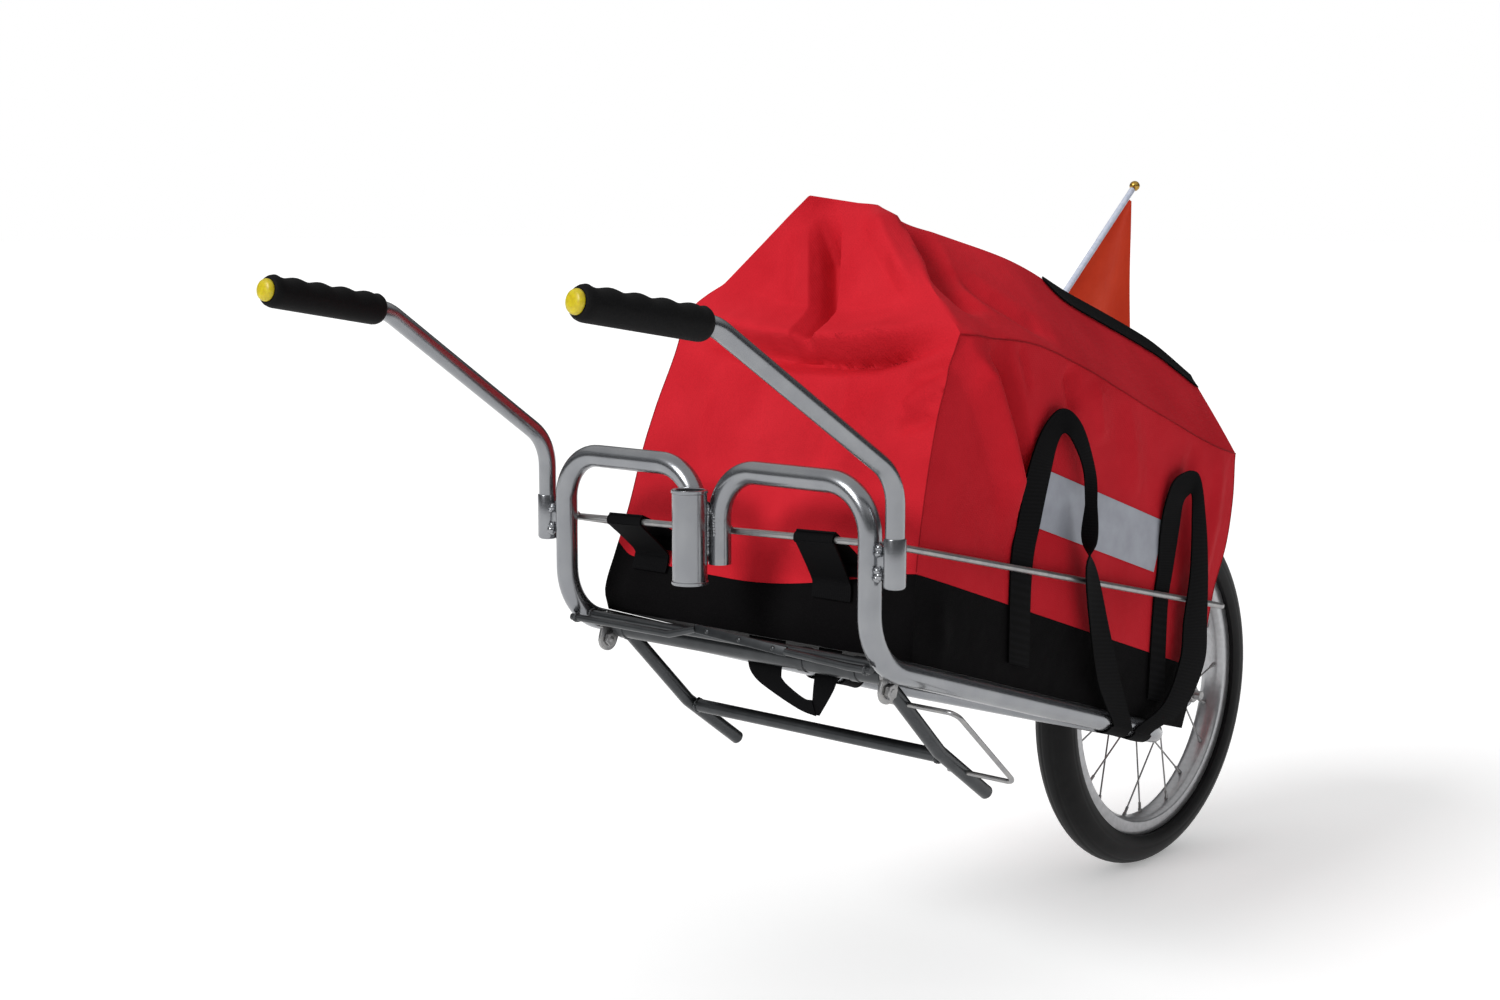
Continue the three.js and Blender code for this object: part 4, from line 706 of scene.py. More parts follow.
make_piece("hub_barrel", [turned(hub_rows, hub_place, steps=44)], rim_alloy, "wheel", ("hub_shell",))
thread_rows = [(0, -72), (4.3, -72)]
thread_rows += [(4.9 if k % 2 else 4.5, -71.4 + 0.8 * k) for k in range(26)]
thread_rows += [(8.5, -49.7), (8.5, -28.3), (5, -28.3), (5, 28.3), (8.5, 28.3), (8.5, 49.7)]
thread_rows += [(4.9 if k % 2 else 4.5, 51.4 + 0.8 * k) for k in range(26)] + [(4.3, 72), (0, 72)]
make_piece("axle_threaded", [turned(thread_rows, hub_place, closed=False, steps=24)], zinc_plate,
           replaces=("axle",))
for name, sign in SIDES:
    low, high = sorted((sign * 56.8, sign * 64.3))
    washer_rows = [(5.2, sign * 55.3), (9, sign * 55.3), (9, sign * 56.8), (5.2, sign * 56.8)]
    parts = [hexagon_nut(hub_place, 9, low, high, 5.2), turned(washer_rows, hub_place, steps=32)]
    make_piece(f"axle_nut_hex_{name}", parts, zinc_plate, replaces=(f"axle_nut_{name}",))

# Wheel stays: 16 mm tube from the rear cross tube, slotted over a flat dropout and welded.
STAY_X = 56
STAY_R = 8
DROPOUT_X = 50
stay_slope = math.atan2(WHEEL_Z, WHEEL_Y - REAR_Y)
dropout_place = standing(DECK, 0, WHEEL_Y, WHEEL_Z) @ Matrix.Rotation(stay_slope, 4, "X")
arc = [-math.pi / 2 + math.pi * k / 16 for k in range(17)]
dropout_outline = [(15 * math.cos(a), 15 * math.sin(a)) for a in arc] + [(-44, 8), (-44, -8)]
for seed, (name, sign) in enumerate(SIDES):
    root = Vector((sign * STAY_X, REAR_Y, 0))
    hub = Vector((sign * STAY_X, WHEEL_Y, WHEEL_Z))
    run = (hub - root).normalized()
    foot = root + run * (FRAME_TUBE_R + BUTT_GAP)
    stay = tube(DECK, [foot, hub - run * 27, hub - run * 26], [1], STAY_R, 26)
    plate = cut_plate([at(dropout_place, sign * DROPOUT_X, y, z) for y, z in dropout_outline],
                      SIDEWAYS * sign * 5 * MM, 0.7)
    bead = weld_ring(at(DECK, *foot), DECK.to_3x3() @ run, STAY_R, 2, seed + 110)
    make_piece(f"wheel_stay_tube_{name}", [stay, plate, bead], silver_coat,
               replaces=(f"wheel_stay_{name}",))


# Bag: a tall soft tub of coated polyester. A black waterproof base is sewn to a red body, whose
# roof runs up to a peak in front. It has no frame, so it hangs in folds from its own seams.
BAG_FRONT = 36
BAG_LENGTH = 500
BAG_HALF = 178
BAG_FLOOR = 10.4
SEAM_HEIGHT = 300
ROOF_RISE = 110
CORNER_PULL = 4
REAR_DENT = 12
END_REACH = 1 / 12
FLAT_COLUMN = 0.4
FRONT_LEFT_ROWS = [(0, 0.045), (0.1, 0.03), (0.3, 0.004), (0.63, -0.014), (0.85, -0.008), (0.96, 0.004),
                   (1.38, 0.084)]
FRONT_RIGHT_ROWS = [(0, 0.02), (0.06, 0.0), (0.18, 0.006), (0.34, 0.018), (0.54, 0.024), (0.67, 0.034),
                    (0.96, 0.06), (1.38, 0.018)]
FRONT_WIDTH_LEVELS = (0.96, 1.38)
FRONT_TOP_WIDTH = 0.155
REAR_ROWS = [(0, 0.975), (0.12, 0.985), (0.3, 1), (0.5, 1.002), (0.66, 1.018), (0.82, 1.012),
             (0.97, 0.99), (1.35, 0.95)]
SEAM_ROWS = [(0, 0.955), (0.24, 1.02), (0.66, 0.985), (0.9, 0.965), (1, 0.975)]
RIDGE_ROWS = [(0, 1), (0.1, 0.95), (0.3, 0.89), (0.8, 0.75), (1, 0.57)]
TOP_ROWS = [(0, 0.155), (0.08, 0.2), (0.3, 0.5), (0.55, 0.53), (1, 0.68)]
BAND_FRONT_ROWS = [(-1, 74), (-0.85, 62), (-0.15, 55), (0.15, 57), (0.46, 65), (0.9, 80), (1, 82)]


def smooth_rows(rows, share):
    """Value at a share on a smooth curve through rows of (share, value)."""
    share = min(max(share, rows[0][0]), rows[-1][0])
    k = next(i for i in range(len(rows) - 1) if share <= rows[i + 1][0])
    (x0, y0), (x1, y1) = rows[k], rows[k + 1]
    before, after = rows[max(k - 1, 0)], rows[min(k + 2, len(rows) - 1)]
    t = (share - x0) / (x1 - x0)
    m0 = (y1 - before[1]) / (x1 - before[0]) * (x1 - x0)
    m1 = (after[1] - y0) / (after[0] - x0) * (x1 - x0)
    return ((2 * t ** 3 - 3 * t ** 2 + 1) * y0 + (t ** 3 - 2 * t ** 2 + t) * m0
            + (3 * t ** 2 - 2 * t ** 3) * y1 + (t ** 3 - t ** 2) * m1)


def across_at(column, along):
    """A column's share of the half width, where the flat top takes the middle columns."""
    flat = smooth_rows(TOP_ROWS, along)
    reach = abs(column)
    if reach <= FLAT_COLUMN:
        return math.copysign(flat * reach / FLAT_COLUMN, column)
    return math.copysign(flat + (1 - flat) * (reach - FLAT_COLUMN) / (1 - FLAT_COLUMN), column)


def bag_top(column, along):
    """Height of the roof: flat along the ridge, and sloping down to the seam on each side."""
    seam = SEAM_HEIGHT * smooth_rows(SEAM_ROWS, along)
    ridge = SEAM_HEIGHT + ROOF_RISE * smooth_rows(RIDGE_ROWS, along)
    climb = min(1, (1 - abs(column)) / (1 - FLAT_COLUMN))
    return seam + (ridge - seam) * climb


def band_top(column, along):
    """Height of the seam between the black base and the red body."""
    side = 82 + (71 - 82) * along
    front = max(0.0, 1 - along / 0.06)
    return side + (smooth_rows(BAND_FRONT_ROWS, across_at(column, along)) - side) * front


def front_face(across_share, z):
    """Where the bag's twisted front lies: its left side leans forward low down, its right side
    at the peak."""
    level = (z - BAG_FLOOR) / (SEAM_HEIGHT - BAG_FLOOR)
    low, high = FRONT_WIDTH_LEVELS
    rise = min(max((level - low) / (high - low), 0), 1)
    reach = min(max(across_share / (1 + (FRONT_TOP_WIDTH - 1) * rise), -1), 1)
    left = (1 + reach) / 2
    share = left * smooth_rows(FRONT_LEFT_ROWS, level) + (1 - left) * smooth_rows(FRONT_RIGHT_ROWS, level)
    return BAG_FRONT + BAG_LENGTH * share


def bag_point(column, along, z):
    """A point of the bag in deck millimetres from its column, its share along and its height."""
    across_share = across_at(column, along)
    level = (z - BAG_FLOOR) / (SEAM_HEIGHT - BAG_FLOOR)
    front_y = front_face(across_share, z)
    rear_y = BAG_FRONT + BAG_LENGTH * smooth_rows(REAR_ROWS, level) - REAR_DENT * (1 - across_share ** 2)
    near_end = max(0.0, (abs(along - 0.5) - 0.5) / END_REACH + 1)
    pull = CORNER_PULL * near_end
    reach = abs(across_share)
    x = across_share * BAG_HALF - math.copysign(pull * reach ** 6, across_share)
    back = math.copysign(pull * reach ** 8 / 2, 0.5 - along)
    return Vector((x, front_y + (rear_y - front_y) * along + back, z))


def near_line(point, line):
    """Distance in millimetres from a point to a line through corners, and how far along it."""
    best = (1e9, 0.0)
    for k, (start, end) in enumerate(zip(line, line[1:])):
        run = end - start
        share = min(max((point - start).dot(run) / run.length_squared, 0), 1)
        gap = (point - start - run * share).length
        if gap < best[0]:
            best = (gap, (k + share) / (len(line) - 1))
    return best


# Folds of the slack cloth: corners in deck millimetres, half width, depth outwards (a negative
# depth is a valley), and how crisp the line is.
FOLDS = [
    ([(-178, 62, 292), (-120, 56, 277), (-60, 48, 265), (0, 44, 259), (50, 41, 258), (90, 39, 261),
      (130, 37, 271), (172, 37, 286)], 15, -26, 1.1),
    ([(-172, 66, 308), (-110, 58, 292), (-40, 50, 280), (20, 48, 274), (70, 44, 274), (110, 42, 280),
      (160, 42, 298)], 32, 24, 1.1),
    ([(-14, 56, 392), (-4, 58, 352), (6, 54, 312), (12, 48, 284), (14, 45, 266)], 17, -28, 1.0),
    ([(-40, 60, 384), (-32, 60, 350), (-26, 56, 300)], 24, 7, 1.2),
    ([(44, 68, 376), (48, 62, 346), (50, 56, 306)], 26, 7, 1.2),
    ([(24, 78, 402), (52, 70, 380), (84, 62, 350), (112, 56, 326)], 18, 20, 1.2),
    ([(48, 108, 400), (84, 92, 372), (122, 82, 344), (156, 92, 326)], 26, -28, 1.1),
    ([(96, 110, 366), (130, 130, 344), (150, 160, 330), (160, 200, 322)], 24, -8, 1.3),
    ([(178, 46, 282), (179, 78, 256), (180, 112, 222), (180, 142, 186), (180, 160, 150)], 24, 19, 1.1),
    ([(179, 84, 292), (180, 112, 260), (180, 142, 226), (180, 168, 190), (180, 184, 150)], 20, -22, 1.1),
    ([(179, 200, 300), (180, 214, 280), (180, 226, 262)], 18, -9, 1.5),
    ([(179, 246, 298), (180, 262, 270), (180, 276, 244)], 26, 6, 1.4),
    ([(174, 34, 262), (152, 30, 252), (128, 30, 246)], 12, -11, 1.2),
    ([(172, 31, 240), (152, 30, 230), (136, 30, 218)], 11, 10, 1.2),
    ([(170, 28, 214), (150, 28, 206), (128, 29, 200)], 11, -9, 1.2),
    ([(-40, 46, 250), (-20, 42, 210), (-6, 40, 160)], 40, 9, 1.2),
    ([(60, 40, 252), (56, 36, 200), (30, 34, 140)], 30, -9, 1.3),
    ([(110, 38, 236), (96, 32, 190), (60, 32, 140)], 26, 7, 1.3),
    ([(-120, 52, 250), (-110, 50, 200), (-96, 46, 140)], 30, -7, 1.3),
    ([(181, 306, 292), (182, 332, 250), (182, 350, 210)], 26, 6, 1.5),
    ([(181, 436, 284), (182, 450, 230), (182, 452, 150)], 22, -6, 1.4),
    ([(181, 500, 286), (182, 506, 220), (182, 498, 130)], 18, 5, 1.3),
    ([(0, 536, 300), (10, 545, 220), (-10, 546, 140)], 44, -4, 2.0),
    ([(-179, 120, 280), (-181, 170, 200), (-181, 190, 140)], 30, -8, 1.4),
    ([(-179, 360, 280), (-181, 330, 210), (-181, 300, 140)], 30, 6, 1.4),
    ([(-120, 56, 277), (-60, 48, 265), (0, 44, 259), (50, 41, 258), (90, 39, 261), (130, 37, 271)],
     6, -8, 1.0),
    ([(-20, 56, 386), (-10, 58, 350), (0, 54, 312), (7, 48, 284), (9, 45, 268)], 5, -7, 1.0),
    ([(32, 84, 402), (60, 76, 380), (92, 68, 350), (122, 62, 322)], 6, -8, 1.0),
    ([(180, 96, 270), (180, 126, 234), (180, 154, 198), (180, 172, 160)], 6, -7, 1.0),
    ([(179, 120, 300), (181, 136, 282), (181, 148, 262)], 6, -5, 1.0),
    ([(150, 46, 70), (154, 48, 44), (150, 52, 20)], 9, -4, 1.2),
    ([(178, 74, 68), (178, 86, 44), (178, 96, 22)], 14, 3, 1.2),
]
FOLD_LINES = []
for corners, width, depth, crisp in FOLDS:
    low = [min(corner[axis] for corner in corners) - width for axis in range(3)]
    high = [max(corner[axis] for corner in corners) + width for axis in range(3)]
    FOLD_LINES.append(([Vector(corner) for corner in corners], low, high, width, depth, crisp))


def fold_lift(point):
    """How far the cloth stands out at a point, in millimetres."""
    lift = 0.0
    for line, low, high, width, depth, crisp in FOLD_LINES:
        if all(low[axis] < point[axis] < high[axis] for axis in range(3)):
            gap, share = near_line(point, line)
            fade = min(1.0, 4 * share + 0.1, 4 * (1 - share) + 0.1)
            lift += depth * fade * max(0.0, 1 - gap / width) ** crisp
    return lift


def cut_cube(bm, cuts):
    """A unit cube with its edges cut along the axes in turn: cuts holds (axis, count)."""
    bmesh.ops.create_cube(bm, size=1)
    for axis, count in cuts:
        edges = [edge for edge in bm.edges if abs((edge.verts[0].co - edge.verts[1].co)[axis]) > 1e-4]
        bmesh.ops.subdivide_edges(bm, edges=edges, cuts=count, use_grid_fill=True)


def bag_shell(floor_at, top_at, cuts):
    """A soft box: a finely cut cube whose corners are each carried to their place on the bag."""
    bm = bmesh.new()
    cut_cube(bm, enumerate(cuts))
    for vert in bm.verts:
        column, along = vert.co.x * 2, vert.co.y + 0.5
        low, high = floor_at(column, along), top_at(column, along)
        vert.co = bag_point(column, along, low + (high - low) * (vert.co.z + 0.5))
    bmesh.ops.recalc_face_normals(bm, faces=bm.faces)
    bm.normal_update()
    lifts = [(vert, vert.normal.copy() * fold_lift(vert.co)) for vert in bm.verts]
    for vert, lift in lifts:
        vert.co += lift
    bmesh.ops.scale(bm, verts=bm.verts, vec=(MM, MM, MM))
    bmesh.ops.transform(bm, matrix=DECK, verts=bm.verts)
    return bm


# PU-coated 600-denier polyester: a plain weave of 0.5 mm yarns under a thin matt coat. The weave
# is drawn at 1.6 mm so that it shows, with broad tired creases.
DRAWN_YARN = 1.6
WAVES_PER_UNIT = 3.3
WEAVE_SCALE = 1 / (DRAWN_YARN * MM) / WAVES_PER_UNIT


def combined(material, operation, first, second):
    """Two sockets put together by arithmetic. The second may be a number."""
    if isinstance(second, (int, float)):
        node = add_node(material, "ShaderNodeMath", [(0, first)], operation=operation)
        node.inputs[1].default_value = second
    else:
        node = add_node(material, "ShaderNodeMath", [(0, first), (1, second)], operation=operation)
    return node.outputs[0]


def coated_cloth(name, dark, mid, light, roughness):
    """Woven cloth in three close shades of one colour."""
    cloth = new_material(name, mid, roughness, Specular_IOR_Level=0.05)
    mottle(cloth, object_noise(cloth, 70, 5), dark, light, 0.3, 0.7)
    place = add_node(cloth, "ShaderNodeTexCoord")
    warp, weft = (add_node(cloth, "ShaderNodeTexWave", [("Vector", place.outputs["Object"])],
                           bands_direction=way, Scale=WEAVE_SCALE, Distortion=0.6) for way in ("Z", "DIAGONAL"))
    weave = combined(cloth, "MULTIPLY", warp.outputs["Fac"], weft.outputs["Fac"])
    slack = combined(cloth, "MULTIPLY", object_noise(cloth, 38, 3).outputs["Fac"], 28)
    emboss(cloth, combined(cloth, "ADD", weave, slack), 0.14 * MM, 0.7)
    return cloth


red_cloth = coated_cloth("red_coated_polyester", "#B41B26", "#BB1F2A", "#C2232E", 0.7)
black_cloth = coated_cloth("black_coated_polyester", "#060506", "#080708", "#0A090A", 0.75)

base = bag_shell(lambda column, along: BAG_FLOOR, band_top, (52, 70, 10))
make_piece("bag_base_cloth", [base], black_cloth, replaces=("bag_base",), crease=60)
body = bag_shell(lambda column, along: band_top(column, along) + 0.3, bag_top, (130, 150, 130))
make_piece("bag_body_cloth", [body], red_cloth, replaces=("bag_body",), crease=60)


# Seams: the roof and the corners are closed by a felled seam with a narrow binding. The binding's
# darker red is painted shade: it stands in for the thin line of shade in the seam's crease.
seam_painted_shade = coated_cloth("red_seam_painted_shade", "#860F18", "#92121B", "#9C151F", 0.6)


def bound_seam(column, along_at, z_at, count, lift, radius):
    """A thin round binding on the bag's skin, from functions of a share; sizes in millimetres."""
    points = []
    for k in range(count + 1):
        along = along_at(k / count)
        point = bag_point(column, along, z_at(along, k / count))
        lean = -0.4 if along < 0.1 else 0.4 if along > 0.9 else 0
        outward = Vector((math.copysign(1, column), lean, 0.3)).normalized()
        points.append(DECK @ ((point + outward * (lift + fold_lift(point))) * MM))
    steps = [(b - a).normalized() for a, b in zip(points, points[1:])]
    runs = [steps[0]] + [(a + b).normalized() for a, b in zip(steps, steps[1:])] + [steps[-1]]
    return swept_tube(points, runs, radius, 8)


bindings = []
for name, sign in SIDES:
    bindings += [bound_seam(sign, lambda s: s, lambda along, s: bag_top(sign, along) - 0.5, 70, 0.1, 0.8),
                 bound_seam(sign, lambda s: 0, lambda along, s: 84 + 202 * s, 40, -0.1, 0.6),
                 bound_seam(sign, lambda s: 1, lambda along, s: 73 + 219 * s, 40, -0.1, 0.6)]
make_piece("bag_seam_bindings", bindings, seam_painted_shade)


# Zip: a black storm strip along the left edge of the roof covers the chain of the zip. A brass
# slider with its pull runs beside it.
FLAP_LOWER_ROWS = [(5, 0.43), (5.35, 0.48), (6, 0.5), (12, 0.5)]
FLAP_FROM, FLAP_TO = 5, 11.85
ROOF_LAYERS = 12

# Polyester webbing: a fine rib across and a herringbone along, matt black.
webbing_black = new_material("black_polyester_webbing", "#08080A", 0.75, Specular_IOR_Level=0.07)
webbing_place = add_node(webbing_black, "ShaderNodeTexCoord")
ribs, herring = (add_node(webbing_black, "ShaderNodeTexWave", [("Vector", webbing_place.outputs["UV"])],
                          bands_direction=way, Scale=scale, Distortion=distortion)
                 for way, scale, distortion in (("Y", 90, 0.4), ("X", 6, 0.3)))
webbing_weave = add_node(webbing_black, "ShaderNodeMath",
                         [(0, ribs.outputs["Fac"]), (1, herring.outputs["Fac"])], operation="MULTIPLY")
mottle(webbing_black, webbing_weave, "#050506", "#101012", 0.1, 0.9, 0)
emboss(webbing_black, webbing_weave.outputs[0], 0.12 * MM, 0.5)


def curve_through(rows, share):
    """A smooth point at a share of the way through a list of vectors."""
    place = share * (len(rows) - 1)
    k = min(int(place), len(rows) - 2)
    t = place - k
    p0, p1, p2, p3 = (rows[min(max(k + step, 0), len(rows) - 1)] for step in (-1, 0, 1, 2))
    return (p1 * 2 + (p2 - p0) * t + (p0 * 2 - p1 * 5 + p2 * 4 - p3) * t ** 2
            + (p1 * 3 - p0 - p2 * 3 + p3) * t ** 3) / 2


def strip(stations, thickness, along_cuts, across_cuts=6, cup=0.0):
    """A woven strip through stations of (first edge, second edge) in metres; its thickness and cup,
    the rise of its middle, are in millimetres."""
    bm = bmesh.new()
    weave = bm.loops.layers.uv.new("weave")
    cut_cube(bm, ((0, across_cuts - 1), (1, along_cuts - 1)))
    for face in bm.faces:
        for loop in face.loops:
            loop[weave].uv = (loop.vert.co.x + 0.5, loop.vert.co.y + 0.5)
    firsts, seconds = zip(*stations)
    for vert in bm.verts:
        side, share, face_side = vert.co.x + 0.5, min(max(vert.co.y + 0.5, 0), 1), vert.co.z
        first, second = curve_through(firsts, share), curve_through(seconds, share)
        before, after = max(share - 0.01, 0), min(share + 0.01, 1)
        ahead = curve_through(firsts, after) - curve_through(firsts, before)
        ahead += curve_through(seconds, after) - curve_through(seconds, before)
        outward = (second - first).cross(ahead).normalized()
        lift = cup * (1 - (2 * side - 1) ** 2) + thickness * face_side
        vert.co = first.lerp(second, side) + outward * lift * MM
    return bm


SLOPE_OUT = Vector((1, 0, 1)).normalized()
UPWARD = Vector((0, 0, 1))


def roof_point(column, along, lift, outward=SLOPE_OUT):
    """A point over the roof, in metres, lifted in millimetres."""
    return DECK @ ((bag_point(column, along, bag_top(column, along)) + outward * lift) * MM)


flap_stations = []
for k in range(29):
    layer = FLAP_FROM + (FLAP_TO - FLAP_FROM) * k / 28
    along = layer / ROOF_LAYERS
    flap_stations.append((roof_point(smooth_rows(FLAP_LOWER_ROWS, layer), along, 1.8),
                          roof_point(FLAT_COLUMN, along, 1.4)))
make_piece("zip_storm_strip", [strip(flap_stations, 1.4, 90, 8, cup=0.5)], webbing_black,
           replaces=("zip_flap",), crease=60)

# Cast zinc slider, brass plated: warm and worn bright at its edges; the brass is drawn in clouds of a
# darker and a brighter tone all over.
brass_plate = clouded("brass_plated_slider", ("#A98336", "#8B6A2A", "#C6A24C"), 0.3, (4, 4), (0.05, 0.4),
                      Metallic=0.9)
PULL_COLUMN = 0.3
PULL_LIFT = 3.1
pull_from = roof_point(PULL_COLUMN, 0.42, PULL_LIFT, UPWARD)
pull_run = (roof_point(PULL_COLUMN, 0.75, PULL_LIFT, UPWARD) - pull_from).normalized()
pull_place = Matrix.Translation(pull_from) @ pull_run.to_track_quat("Z", "X").to_matrix().to_4x4()
pull_ring = [(0, 0, 8), (0, 0, 11), (0, 2, 13), (0, 2, 24), (0, -2, 24), (0, -2, 13), (0, 0, 11)]
pull_parts = [packing_block(pull_place, (-2.4, -2.4, 0), (2.4, 2.4, 9), 1),
              tube(pull_place, pull_ring, [1, 1, 1.6, 1.6, 1], 0.9, 12)]
make_piece("zip_slider_pull", pull_parts, brass_plate, "zip_slider", ("zip_puller",))


# Reflective panel: a silver glass-bead tape sewn flat to each side between the straps.
TAPE_FRONT, TAPE_REAR = 200, 407
TAPE_LOW, TAPE_HIGH = (152, 149), (204, 199)
TAPE_LIFT = 0.9
reflector = clouded("glass_bead_reflective_tape", ("#8E919B", "#868993", "#969AA4"), 0.42, (30, 6), (0.4, 0.5),
                    Metallic=0.25, Sheen_Weight=0.2)
for name, sign in SIDES:
    tape = bmesh.new()
    bmesh.ops.create_grid(tape, x_segments=60, y_segments=14, size=0.5)
    for vert in tape.verts:
        share, rise = vert.co.x + 0.5, vert.co.y + 0.5
        low, high = (front + (rear - front) * share for front, rear in (TAPE_LOW, TAPE_HIGH))
        along = (TAPE_FRONT + (TAPE_REAR - TAPE_FRONT) * share - BAG_FRONT) / BAG_LENGTH
        point = bag_point(sign, along, low + (high - low) * rise)
        vert.co = DECK @ ((point + SIDEWAYS * sign * (TAPE_LIFT + fold_lift(point))) * MM)
    bmesh.ops.recalc_face_normals(tape, faces=tape.faces)
    bmesh.ops.solidify(tape, geom=list(tape.faces), thickness=0.5 * MM)
    make_piece(f"reflective_tape_{name}", [tape], reflector, crease=60)


# Carry straps: 30 mm webbing, sewn to the side, folded over above the rod, hanging outside it
# and taken round under the rail. The front ones have a half twist above the rod.
STRAP_ROWS = {
    "front": [((0.31, 0.1, 0), (0.375, 0.1, 0)), ((0.262, 0.377, 0), (0.328, 0.381, 0)),
              ((0.258, 0.51, 0), (0.326, 0.53, 0)), ((0.259, 0.666, 0.05), (0.327, 0.68, 0.05)),
              ((0.272, 0.79, 0.3), (0.322, 0.755, 0.3)), ((0.31, 0.865, 0.6), (0.325, 0.795, 0.6)),
              ((0.369, 0.837, 0.9), (0.345, 0.785, 0.9)), ((0.43, 0.724, 1.1), (0.395, 0.716, 1)),
              ((0.445, 0.625, 1.5), (0.432, 0.622, 0.7)), ((0.448, 0.515, 2), (0.456, 0.515, 0.4)),
              ((0.448, 0.429, 1.5), (0.503, 0.437, 0.9)), ((0.52, 0.248, 1), (0.584, 0.264, 1)),
              ((0.58, 0.1, 0.95), (0.66, 0.12, 0.9))],
    "rear": [((0.8, 0.1, 0), (0.862, 0.1, 0)), ((0.759, 0.395, 0), (0.811, 0.4, 0)),
             ((0.751, 0.507, 0), (0.805, 0.52, 0)), ((0.732, 0.624, 0.1), (0.797, 0.645, 0.1)),
             ((0.724, 0.72, 0.3), (0.786, 0.735, 0.3)), ((0.735, 0.805, 0.6), (0.793, 0.768, 0.5)),
             ((0.8, 0.843, 0.9), (0.8, 0.77, 0.7)), ((0.85, 0.711, 1.1), (0.808, 0.7, 0.9)),
             ((0.888, 0.56, 1.2), (0.834, 0.531, 1)), ((0.92, 0.4, 1.2), (0.843, 0.369, 1)),
             ((0.945, 0.26, 1.1), (0.856, 0.25, 1)), ((0.91, 0.1, 0.9), (0.83, 0.1, 0.9))],
}
WRAP_SHARES = {"front": (0.66, 0.73), "rear": (0.81, 0.75)}
WEBBING = 1.8
SEWN_LIFT = 1.6
STANDOFF = 11.5
wrap_radius = FRAME_TUBE_R + 0.6 + WEBBING / 2


def strap_pair(x, z, shares):
    """The two edges of a strap at deck x and z, at their shares of the bag's length."""
    return tuple(at(DECK, x, BAG_FRONT + BAG_LENGTH * along, z) for along in shares)


for name, sign in SIDES:
    for place, rows in STRAP_ROWS.items():
        shares = WRAP_SHARES[place]
        stations = [tuple(at(DECK, sign * (BAG_HALF + SEWN_LIFT + STANDOFF * stand),
                             BAG_FRONT + BAG_LENGTH * along, SEAM_HEIGHT * up) for along, up, stand in edges)
                    for edges in rows]
        for k in range(9):
            angle = -math.pi * k / 8
            stations.append(strap_pair(sign * (HALF_WIDTH + wrap_radius * math.cos(angle)),
                                       wrap_radius * math.sin(angle), shares))
        stations.append(strap_pair(sign * (HALF_WIDTH - wrap_radius), BAG_FLOOR - 0.5, shares))
        make_piece(f"carry_webbing_{place}_{name}", [strip(stations, WEBBING, 150, 8, cup=0.4)], webbing_black,
                   replaces=(f"carry_strap_{place}_{name}",), crease=60)


# Front loops: two lengths of webbing sewn to the bag's front, each taken round the front rod and
# back down to the base, which keep the bag from tipping back.
LOOP_HALF = 21
LOOP_SEWN = 2.3
LOOP_ROUND = 4.7
rod_span = ROD_FRONT_LEFT.x - ROD_FRONT_RIGHT.x


def on_front(x, z, off):
    """A point in metres off the cloth of the bag's front, from deck millimetres."""
    y = front_face(x / BAG_HALF, z) - off
    return at(DECK, x, y - max(0.0, fold_lift(Vector((x, y, z)))), z)


def round_rod(x, angle):
    """A point in metres beside the front rod at deck x, an angle round it."""
    on_rod = ROD_FRONT_LEFT.lerp(ROD_FRONT_RIGHT, (ROD_FRONT_LEFT.x - x) / rod_span)
    return at(DECK, on_rod.x, on_rod.y + LOOP_ROUND * math.cos(angle), on_rod.z + LOOP_ROUND * math.sin(angle))


for name, middle, drift in (("left", 110, -20), ("right", -112, -10)):
    edges = (middle - LOOP_HALF, middle + LOOP_HALF)
    stations = [tuple(on_front(x + drift * 0.6, z, off) for x in edges)
                for z, off in ((72, LOOP_SEWN), (80, 2.6), (88, 6))]
    stations += [tuple(round_rod(x, math.pi / 2 + math.pi * k / 8) for x in edges) for k in range(9)]
    stations += [tuple(on_front(x + drift, z, off) for x in edges)
                 for z, off in ((70, 8), (62, 2.8), (51, LOOP_SEWN))]
    make_piece(f"front_webbing_{name}", [strip(stations, 1.6, 90, 8)], webbing_black,
               replaces=(f"front_loop_{name}",), crease=60)

# A loose tail of webbing hangs below the floor of the bag as an open loop.
front_leg = (((-10, 10), (32, 10)), ((-5, -14), (34, -17)), ((6, -26), (38, -24)), ((27, -35), (52, -31)),
             ((62, -46), (66, -36)), ((82, -49), (74, -36)))
rear_leg = (((70, 10), (95, 10)), ((71, -8), (95, -10)), ((72, -24), (94, -24)), ((76, -48), (84, -48)))
tails = [strip([tuple(at(DECK, x, y, z) for x, z in pair) for pair in leg], 1.4, cuts, 6)
         for leg, y, cuts in ((front_leg, 64, 40), (rear_leg, 65.4, 30))]
make_piece("under_webbing", tails, webbing_black, replaces=("under_loop",), crease=60)


# Flag: a fibreglass pole in a small steel cup on the right rail, with a brass-coloured ball at its
# tip and an orange pennant sleeved on it.
FLAG_LEAN = math.radians(32.5)
POLE_FOOT = Vector((-199.5, 406, 4))
POLE_LENGTH = 788
BALL_R = 6.4
pole_place = standing(DECK, *POLE_FOOT) @ Matrix.Rotation(-FLAG_LEAN, 4, "X")

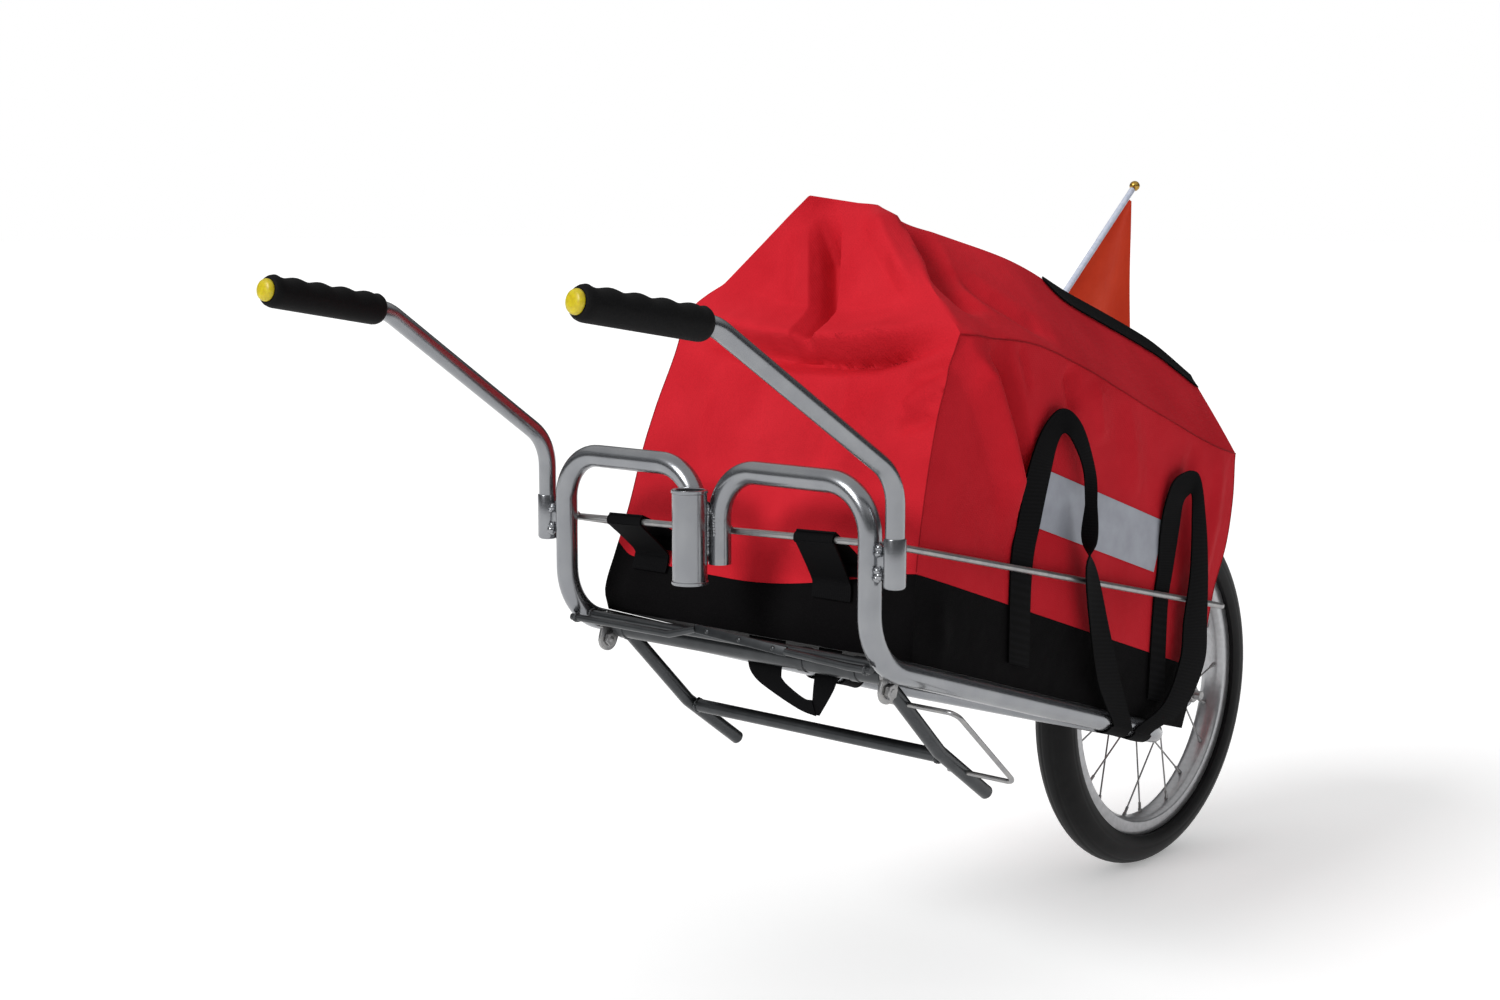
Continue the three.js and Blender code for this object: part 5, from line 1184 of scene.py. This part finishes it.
# Pultruded fibreglass rod with a pale gel coat.
pole_coat = clouded("gel_coated_fibreglass", ("#C3CADC", "#B9C1D4", "#CDD3E2"), 0.35, (5, 3), (0.05, 0.4),
                    Coat_Weight=0.2)
holder_rows = [(0, -3.3), (5.2, -3.3), (5.8, -2.7), (5.8, 45.4), (5.4, 46), (4.4, 46), (4.1, 45.6),
               (4.1, -0.3), (0, -0.3)]
holder = [turned(holder_rows, pole_place, closed=False, steps=28),
          packing_block(DECK, (-196, 402, 0), (-187.3, 410, 16), 1)]
make_piece("flag_cup", holder, zinc_plate, replaces=("flag_holder",))
pole_rows = [(0, 0), (3.4, 0), (3.7, 0.4), (3.7, POLE_LENGTH - 0.4), (3.4, POLE_LENGTH), (0, POLE_LENGTH)]
make_piece("flag_pole_rod", [turned(pole_rows, pole_place, closed=False, steps=20)], pole_coat, "flag",
           ("flag_pole",))
ball_middle = POLE_LENGTH + BALL_R + 0.3
ball_turns = [math.pi * k / 16 for k in range(1, 16)]
ball_rows = [(BALL_R * math.sin(turn), ball_middle - BALL_R * math.cos(turn)) for turn in ball_turns]
ball_rows = [(0, ball_middle - BALL_R)] + ball_rows + [(0, ball_middle + BALL_R)]
make_piece("flag_tip_ball", [turned(ball_rows, pole_place, closed=False, steps=24)], brass_plate, "flag",
           ("flag_ball",))

# Pennant: orange nylon, plain woven and heat cut, its hoist edge folded into a sleeve.
HOIST = 196
FLY = 168
TIP = 6
PENNANT_SAG = math.radians(2.7)
BELOW_TOP = 14
SLEEVE_OUT = 4.4
orange_nylon = coated_cloth("orange_flag_nylon", "#C93A22", "#D03E25", "#D64428", 0.6)
pennant = bmesh.new()
pennant.loops.layers.uv.new("weave")
bmesh.ops.create_grid(pennant, x_segments=40, y_segments=44, size=0.5, calc_uvs=True)
pole_axis = Vector((0, math.sin(FLAG_LEAN), math.cos(FLAG_LEAN)))
pole_side = Vector((0, math.cos(FLAG_LEAN), -math.sin(FLAG_LEAN)))
fly_run = Vector((0, math.cos(PENNANT_SAG), -math.sin(PENNANT_SAG)))
for vert in pennant.verts:
    out, down = vert.co.x + 0.5, 0.5 - vert.co.y
    point = POLE_FOOT + pole_axis * (POLE_LENGTH - BELOW_TOP - HOIST * down) + pole_side * SLEEVE_OUT
    point += fly_run * out * (TIP + (FLY - TIP) * down)
    point.x += 7 * math.sin(math.tau * out) * down + 1.5 * math.sin(9 * out + 5 * down) * out * down
    vert.co = DECK @ (point * MM)
bmesh.ops.recalc_face_normals(pennant, faces=pennant.faces)
bmesh.ops.solidify(pennant, geom=list(pennant.faces), thickness=0.6 * MM)
flag_cloth = make_piece("pennant_cloth", [pennant], orange_nylon, "flag", ("pennant",), 60)
